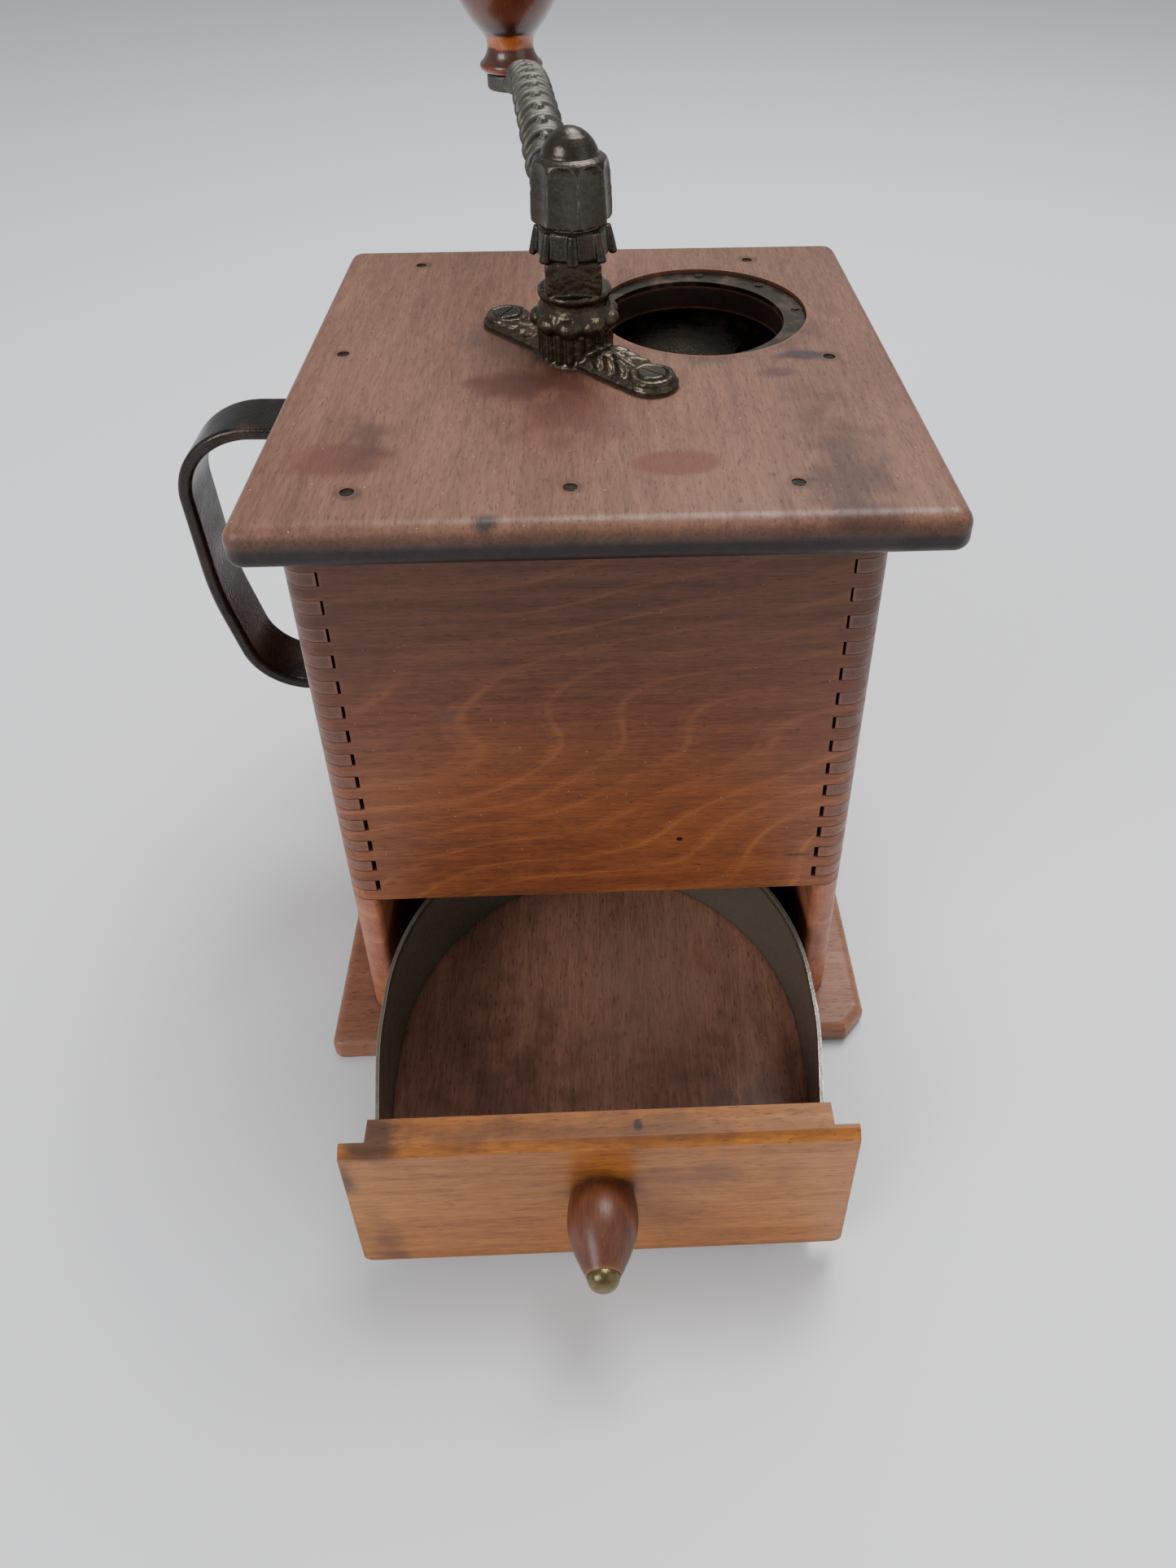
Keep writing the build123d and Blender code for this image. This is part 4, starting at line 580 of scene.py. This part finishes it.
# ---- Regulating nut and washer ----
# A cast nut that flares out under the crank, with eight rubbed ribs for the fingers.
nut_low, nut_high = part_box("regulating_nut")
nut_tall, nut_ribs, rib_circle = nut_high.z - nut_low.z, 8, 0.0119
nut_pieces = [turned("nut_body", (
    (0.0008, 0.0104, 0.0104), (0.0014, 0.0108, 0.0108), (0.0050, 0.0104, 0.0104),
    (nut_tall - 0.0008, 0.0101, 0.0101), (nut_tall, 0.0094, 0.0094)))]
for rib in range(nut_ribs):
    angle = 2 * math.pi * rib / nut_ribs
    tab = turned("tab", ((0.0, 0.0009, 0.0012), (0.0006, 0.0013, 0.0017), (0.0060, 0.0012, 0.0015),
                         (nut_tall - 0.0004, 0.0010, 0.0012)), 24)
    tab.rotation_euler = (0, math.radians(-11), angle)
    tab.location = (rib_circle * math.cos(angle), rib_circle * math.sin(angle), 0.0)
    only(tab)
    nut_pieces.append(settle())
nut = cast_in_one("nut_casting", nut_pieces, 0.00028, 1)
cut_away(nut, turned("nut_bore", ((-0.004, 0.00456, 0.00456), (0.02, 0.00456, 0.00456)), 64))
turn_and_place(nut, 0.0, (axis_x, axis_y, nut_low.z))
nut.data.materials.clear()
nut.data.materials.append(metal("nut_iron", (0.040, 0.036, 0.030, 1), (0.30, 0.25, 0.19, 1), rubbing=1.0,
                                edge_radius=0.0006, dust=0.3))
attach(nut, "regulating_nut")
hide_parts("regulating_nut")
dress(dull_steel, "thrust_washer")

# ---- Spindle ----
# A turned steel bar from the bridge up into the crank's hub.
dress(dull_steel, "spindle", "hub_pin")

# ---- Crank ----
# One iron casting: a bell-shaped hub with eight hollow faces under a dome, and an arm that rises
# and falls again to the knob, wrapped in slanting rope ridges with a bead between each two.
hub_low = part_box("crank")[0].z
hub = turned("hub", (
    (0.0, 0.0113, 0.0113), (0.0007, 0.0120, 0.0120), (0.0040, 0.0121, 0.0121), (0.0090, 0.0119, 0.0119),
    (0.0140, 0.0115, 0.0115), (0.0165, 0.0111, 0.0111), (0.0180, 0.0104, 0.0104), (0.0188, 0.0094, 0.0094),
    (0.0191, 0.0082, 0.0082), (0.0206, 0.0079, 0.0079), (0.0226, 0.0069, 0.0069), (0.0244, 0.0054, 0.0054),
    (0.0258, 0.0036, 0.0036), (0.0266, 0.0018, 0.0018), (0.0268, 0.0004, 0.0004)), 96)
hollows, hollow_circle = 8, 0.0190
for face in range(hollows):
    angle = 2 * math.pi * (face + 0.5) / hollows
    hollow = turned("hollow", ((-0.002, 0.0086, 0.0086), (0.0150, 0.0094, 0.0094), (0.0172, 0.0091, 0.0091),
                               (0.0186, 0.0084, 0.0084), (0.0194, 0.0070, 0.0070),
                               (0.0197, 0.0050, 0.0050)), 56)
    hollow.location = (hollow_circle * math.cos(angle), hollow_circle * math.sin(angle), 0)
    only(hollow)
    settle()
    cut_away(hub, hollow)

arm_length, arm_steps, eye_reach = 0.1225, 24, 0.125
arm_rings = [(0.0, 0.0042, 0.0064)]
for step in range(1, arm_steps + 1):
    along = step / arm_steps
    arm_rings.append((arm_length * along, 0.0043 - 0.0014 * along, 0.0064 - 0.0024 * along))
arm = turned("arm", arm_rings, 24)
ridges, first_ridge, ridge_gap = 19, 0.006, 0.0060
rope = [arm]
for ridge in range(ridges):
    along = (first_ridge + ridge_gap * ridge) / arm_length
    wide, thick = 0.0064 - 0.0024 * along, 0.0043 - 0.0014 * along
    bpy.ops.object.select_all(action="DESELECT")
    bpy.ops.mesh.primitive_torus_add(major_radius=1.0, minor_radius=0.24,
                                     major_segments=36, minor_segments=10)
    hoop = bpy.context.object
    hoop.scale = (thick * 1.25, wide, 0.0052)
    hoop.rotation_euler = (math.radians(-10), math.radians(36), 0)
    hoop.location.z = along * arm_length
    rope.append(settle())
    rope.append(pebble((-thick - 0.0002, 0, along * arm_length + 0.0010), (0.0009, 0.0013, 0.0010)))
only(rope[0])
for piece in rope[1:]:
    piece.select_set(True)
bpy.ops.object.join()
arm = bpy.context.object
arm.rotation_euler = (0, math.radians(90), 0)
settle()
bpy.ops.object.select_all(action="DESELECT")
bpy.ops.curve.primitive_nurbs_path_add()
rise = bpy.context.object
rise.data.splines.clear()
line = rise.data.splines.new("NURBS")
arm_points = ((0.0050, 0.0027, 0.0058), (0.0127, 0.0038, 0.0094), (0.0181, 0.0038, 0.0139),
              (0.0290, 0.0038, 0.0202), (0.0413, 0.0038, 0.0245), (0.0594, 0.0023, 0.0270),
              (0.0750, 0.0015, 0.0251), (0.0900, 0.0008, 0.0198), (0.1050, 0.0004, 0.0137),
              (0.1165, 0.0, 0.0116), (0.1200, 0.0, 0.0116))
line.points.add(len(arm_points) - 1)
for point, (reach, bow, lift) in zip(line.points, arm_points):
    point.co = (reach, bow, lift, 1)
line.order_u = 4
line.use_endpoint_u = True
rise.data.dimensions = "3D"
rise.data.twist_mode = "Z_UP"
rise.data.resolution_u = 24
run_modifier(arm, "CURVE", object=rise, deform_axis="POS_X")
bpy.data.objects.remove(rise)
eye = turned("eye", ((0.0086, 0.0088, 0.0088), (0.0092, 0.0094, 0.0094), (0.0140, 0.0094, 0.0094),
                     (0.0146, 0.0088, 0.0088)), 48)
eye.location.x = eye_reach
only(eye)
settle()
crank = cast_in_one("crank_casting", [hub, arm, eye], 0.00036, 2)
rough_skin.noise_scale = 0.003
run_modifier(crank, "DISPLACE", texture=rough_skin, texture_coords="LOCAL", strength=0.0002, mid_level=0.5)
arm_heading = math.radians(100.7)
turn_and_place(crank, arm_heading, (axis_x, axis_y, hub_low))
crank.data.materials.clear()
crank_iron = metal("crank_iron", (0.052, 0.046, 0.038, 1), (0.25, 0.215, 0.165, 1), rust_amount=0.15,
                   rubbing=0.9, edge_radius=0.0009, dust=0.3, bump=0.0001)
tree = crank_iron.node_tree
spread = put(tree, "VectorMath", {0: put(tree, "TexCoord", {})["Object"], 1: (axis_x, axis_y, 0)},
             operation="SUBTRACT")[0]
spread = put(tree, "VectorMath", {0: spread, 1: (1, 1, 0)}, operation="MULTIPLY")[0]
beyond_hub = ramp_range(tree, put(tree, "VectorMath", {0: spread}, operation="LENGTH")["Value"],
                        0.0125, 0.0150)
shader = tree.nodes["Principled BSDF"]
hub_colour = shader.inputs["Base Color"].links[0].from_socket
tree.links.new(blend_colours(tree, times(tree, beyond_hub, 0.5), hub_colour, (0.15, 0.142, 0.128, 1)),
               shader.inputs["Base Color"])
hub_roughness = shader.inputs["Roughness"].links[0].from_socket
tree.links.new(put(tree, "Math", {0: hub_roughness, 1: times(tree, beyond_hub, 0.22)}, operation="ADD")[0],
               shader.inputs["Roughness"])
crank.data.materials.append(crank_iron)
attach(crank, "crank")
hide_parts("crank")

# ---- Crank knob ----
# Turned from one piece of birch, stained dark and varnished, with a bright band left at the neck.
# It spins on a riveted steel pin.
knob_wood = bpy.data.materials.new("crank_knob_wood")
knob_wood.use_nodes = True
tree = knob_wood.node_tree
place = put(tree, "TexCoord", {})["Object"]
along = put(tree, "Mapping", {"Vector": place, "Rotation": upright})[0]
grain = put(tree, "Group", {"Vector": along, "Light": (0.42, 0.13, 0.028, 1), "Dark": (0.20, 0.045, 0.010, 1),
                            "Ring": (0.6, 0.25, 0.08, 1), "Figure": 0.2, "Pores": 0.4, "Specks": 0.1},
            node_tree=plank_grain)
knob_low, knob_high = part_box("crank_knob")
wobble = put(tree, "TexNoise", {"Vector": place, "Scale": 160.0, "Detail": 3.0})[0]
level_up = put(tree, "Math", {0: put(tree, "SeparateXYZ", {0: place})["Z"],
                              1: ramp_range(tree, wobble, 0.3, 0.7, -0.0006, 0.0006)}, operation="ADD")[0]
bands = tree.nodes.new("ShaderNodeValToRGB")
tree.links.new(ramp_range(tree, level_up, knob_low.z, knob_high.z), bands.inputs[0])
stops = ((0.0, (0.03, 0.02, 0.02)), (0.02, (0.8, 0.42, 0.25)), (0.06, (0.26, 0.16, 0.12)),
         (0.12, (0.18, 0.12, 0.10)), (0.17, (0.25, 0.17, 0.14)), (0.19, (1.1, 1.0, 0.85)),
         (0.27, (1.3, 1.1, 0.85)), (0.29, (0.12, 0.08, 0.07)), (0.36, (0.10, 0.08, 0.07)),
         (0.42, (0.30, 0.20, 0.17)), (0.8, (0.36, 0.26, 0.22)), (1.0, (0.3, 0.22, 0.2)))
while len(bands.color_ramp.elements) < len(stops):
    bands.color_ramp.elements.new(0.5)
for element, (position, tint) in zip(bands.color_ramp.elements, stops):
    element.position = position
    element.color = (*tint, 1)
colour = blend_colours(tree, 1.0, grain["Color"], bands.outputs[0], "MULTIPLY")
chip = put(tree, "Group", {"Radius": 0.0008, "Sharpness": 5.0}, node_tree=worn_edge)[0]
colour = blend_colours(tree, times(tree, chip, 0.8), colour, (0.5, 0.2, 0.07, 1))
shader = tree.nodes["Principled BSDF"]
tree.links.new(colour, shader.inputs["Base Color"])
tree.links.new(ramp_range(tree, wobble, 0.3, 0.7, 0.25, 0.4), shader.inputs["Roughness"])
shader.inputs["Coat Weight"].default_value = 0.5
shader.inputs["Coat Roughness"].default_value = 0.15
tree.links.new(put(tree, "Bump", {"Height": grain["Height"], "Strength": 0.3, "Distance": 0.0002})[0],
               shader.inputs["Normal"])
dress(knob_wood, "crank_knob")
dress(dull_steel, "knob_pin")

# ---- Side handle ----
# A cast iron strap bowed out from the left wall, with two screws in the plate at each end.
handle_iron = metal("handle_iron", (0.026, 0.023, 0.020, 1), (0.17, 0.145, 0.11, 1), rust_amount=0.2,
                    rubbing=1.0, edge_radius=0.0014)
dress(handle_iron, "side_handle")
dress(dull_steel, "handle_screws")

# ---- Drawer ----
# A birch front with stepped ends carries a bent tin band and a round-backed wooden floor.
# The front is worn to honey, with dark stains along its top edge. The floor is painted lighter in its middle,
# a painted pool of light, and is darker in two patches near its front.
front_marks = (((-0.0600, -0.1530, 0.0680), (0.0100, 0.008, 0.0040), 0.5, (0.030, 0.014, 0.008, 1), 0.85),
               ((-0.0690, -0.1560, 0.0550), (0.0030, 0.006, 0.0060), 0.6, (0.035, 0.016, 0.009, 1), 0.8),
               ((-0.0620, -0.1570, 0.0200), (0.0045, 0.006, 0.0120), 0.7, (0.07, 0.025, 0.010, 1), 0.6),
               ((0.0200, -0.1570, 0.0500), (0.0220, 0.006, 0.0060), 0.7, (0.10, 0.035, 0.012, 1), 0.55),
               ((0.0050, -0.1530, 0.0685), (0.0450, 0.004, 0.0022), 0.7, (0.09, 0.036, 0.015, 1), 0.7),
               ((0.0100, -0.1520, 0.0684), (0.0013, 0.0016, 0.0013), 0.3, (0.015, 0.008, 0.006, 1), 0.9))
drawer_wood = wood("drawer_birch", side_to_side, (0.47, 0.168, 0.023, 1), (0.195, 0.055, 0.008, 1),
                   (0.40, 0.155, 0.038, 1), 0.3, (0.20, 0.075, 0.028, 1), 0.4, front_marks, 0.4, 0.1, 0.15,
                   lean=(0, 60, 30))
dress(drawer_wood, "drawer_front")
# The first floor mark is a painted pool of light in the middle of the floor; the other two darken two patches
# near its front.
floor_light_and_marks = (((0.0180, -0.080, 0.0154), (0.024, 0.034, 0.01), 0.7, (0.30, 0.19, 0.14, 1), 0.32),
               ((-0.0300, -0.115, 0.0154), (0.020, 0.024, 0.01), 0.7, (0.060, 0.028, 0.022, 1), 0.55),
               ((0.0400, -0.125, 0.0154), (0.020, 0.020, 0.01), 0.7, (0.060, 0.028, 0.022, 1), 0.55))
floor_wood = wood("drawer_floor_birch", front_to_back, (0.39, 0.190, 0.125, 1), (0.140, 0.060, 0.043, 1),
                  (0.25, 0.12, 0.08, 1), 0.15, (0.1, 0.05, 0.03, 1), 0.3, floor_light_and_marks, 0.6, 0.8, 0.1,
                  lean=(0, 70, 0))
dress(floor_wood, "drawer_floor")
dress(tin, "drawer_band")
dress(dull_steel, "band_nails", "floor_screw")

# The band's upper edge is folded over into a narrow hem.
band_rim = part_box("drawer_band")[1].z
hem_tall = 0.0024
bpy.ops.object.select_all(action="DESELECT")
hem_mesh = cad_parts["drawer_band"].data.copy()
hem = bpy.data.objects.new("band_hem", hem_mesh)
scene.collection.objects.link(hem)
only(hem)
bpy.ops.object.mode_set(mode="EDIT")
bpy.ops.mesh.select_all(action="SELECT")
bpy.ops.mesh.remove_doubles(threshold=0.00001)
bpy.ops.mesh.bisect(plane_co=(0, 0, band_rim - hem_tall), plane_no=(0, 0, 1), clear_inner=True, use_fill=True)
bpy.ops.mesh.select_all(action="SELECT")
bpy.ops.mesh.normals_make_consistent(inside=False)
bpy.ops.transform.shrink_fatten(value=0.00035)
bpy.ops.object.mode_set(mode="OBJECT")
hem.data.materials.clear()
hem.data.materials.append(tin)
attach(hem, "drawer")

# ---- Drawer knob ----
# An acorn of turned wood, rubbed pale round its base, held by a screw with a domed brass tip.
acorn_wood = wood("acorn_wood", front_to_back, (0.150, 0.042, 0.012, 1), (0.055, 0.014, 0.006, 1),
                  (0.25, 0.08, 0.03, 1), 0.3, (0.36, 0.15, 0.06, 1), 0.7, (), 0.4, 0.1, 0.3)
dress(acorn_wood, "drawer_knob")
brass = metal("old_brass", (0.13, 0.10, 0.045, 1), (0.40, 0.32, 0.14, 1), (0.05, 0.04, 0.025, 1), 0.6, 0.8)
dress(brass, "drawer_knob_screw")
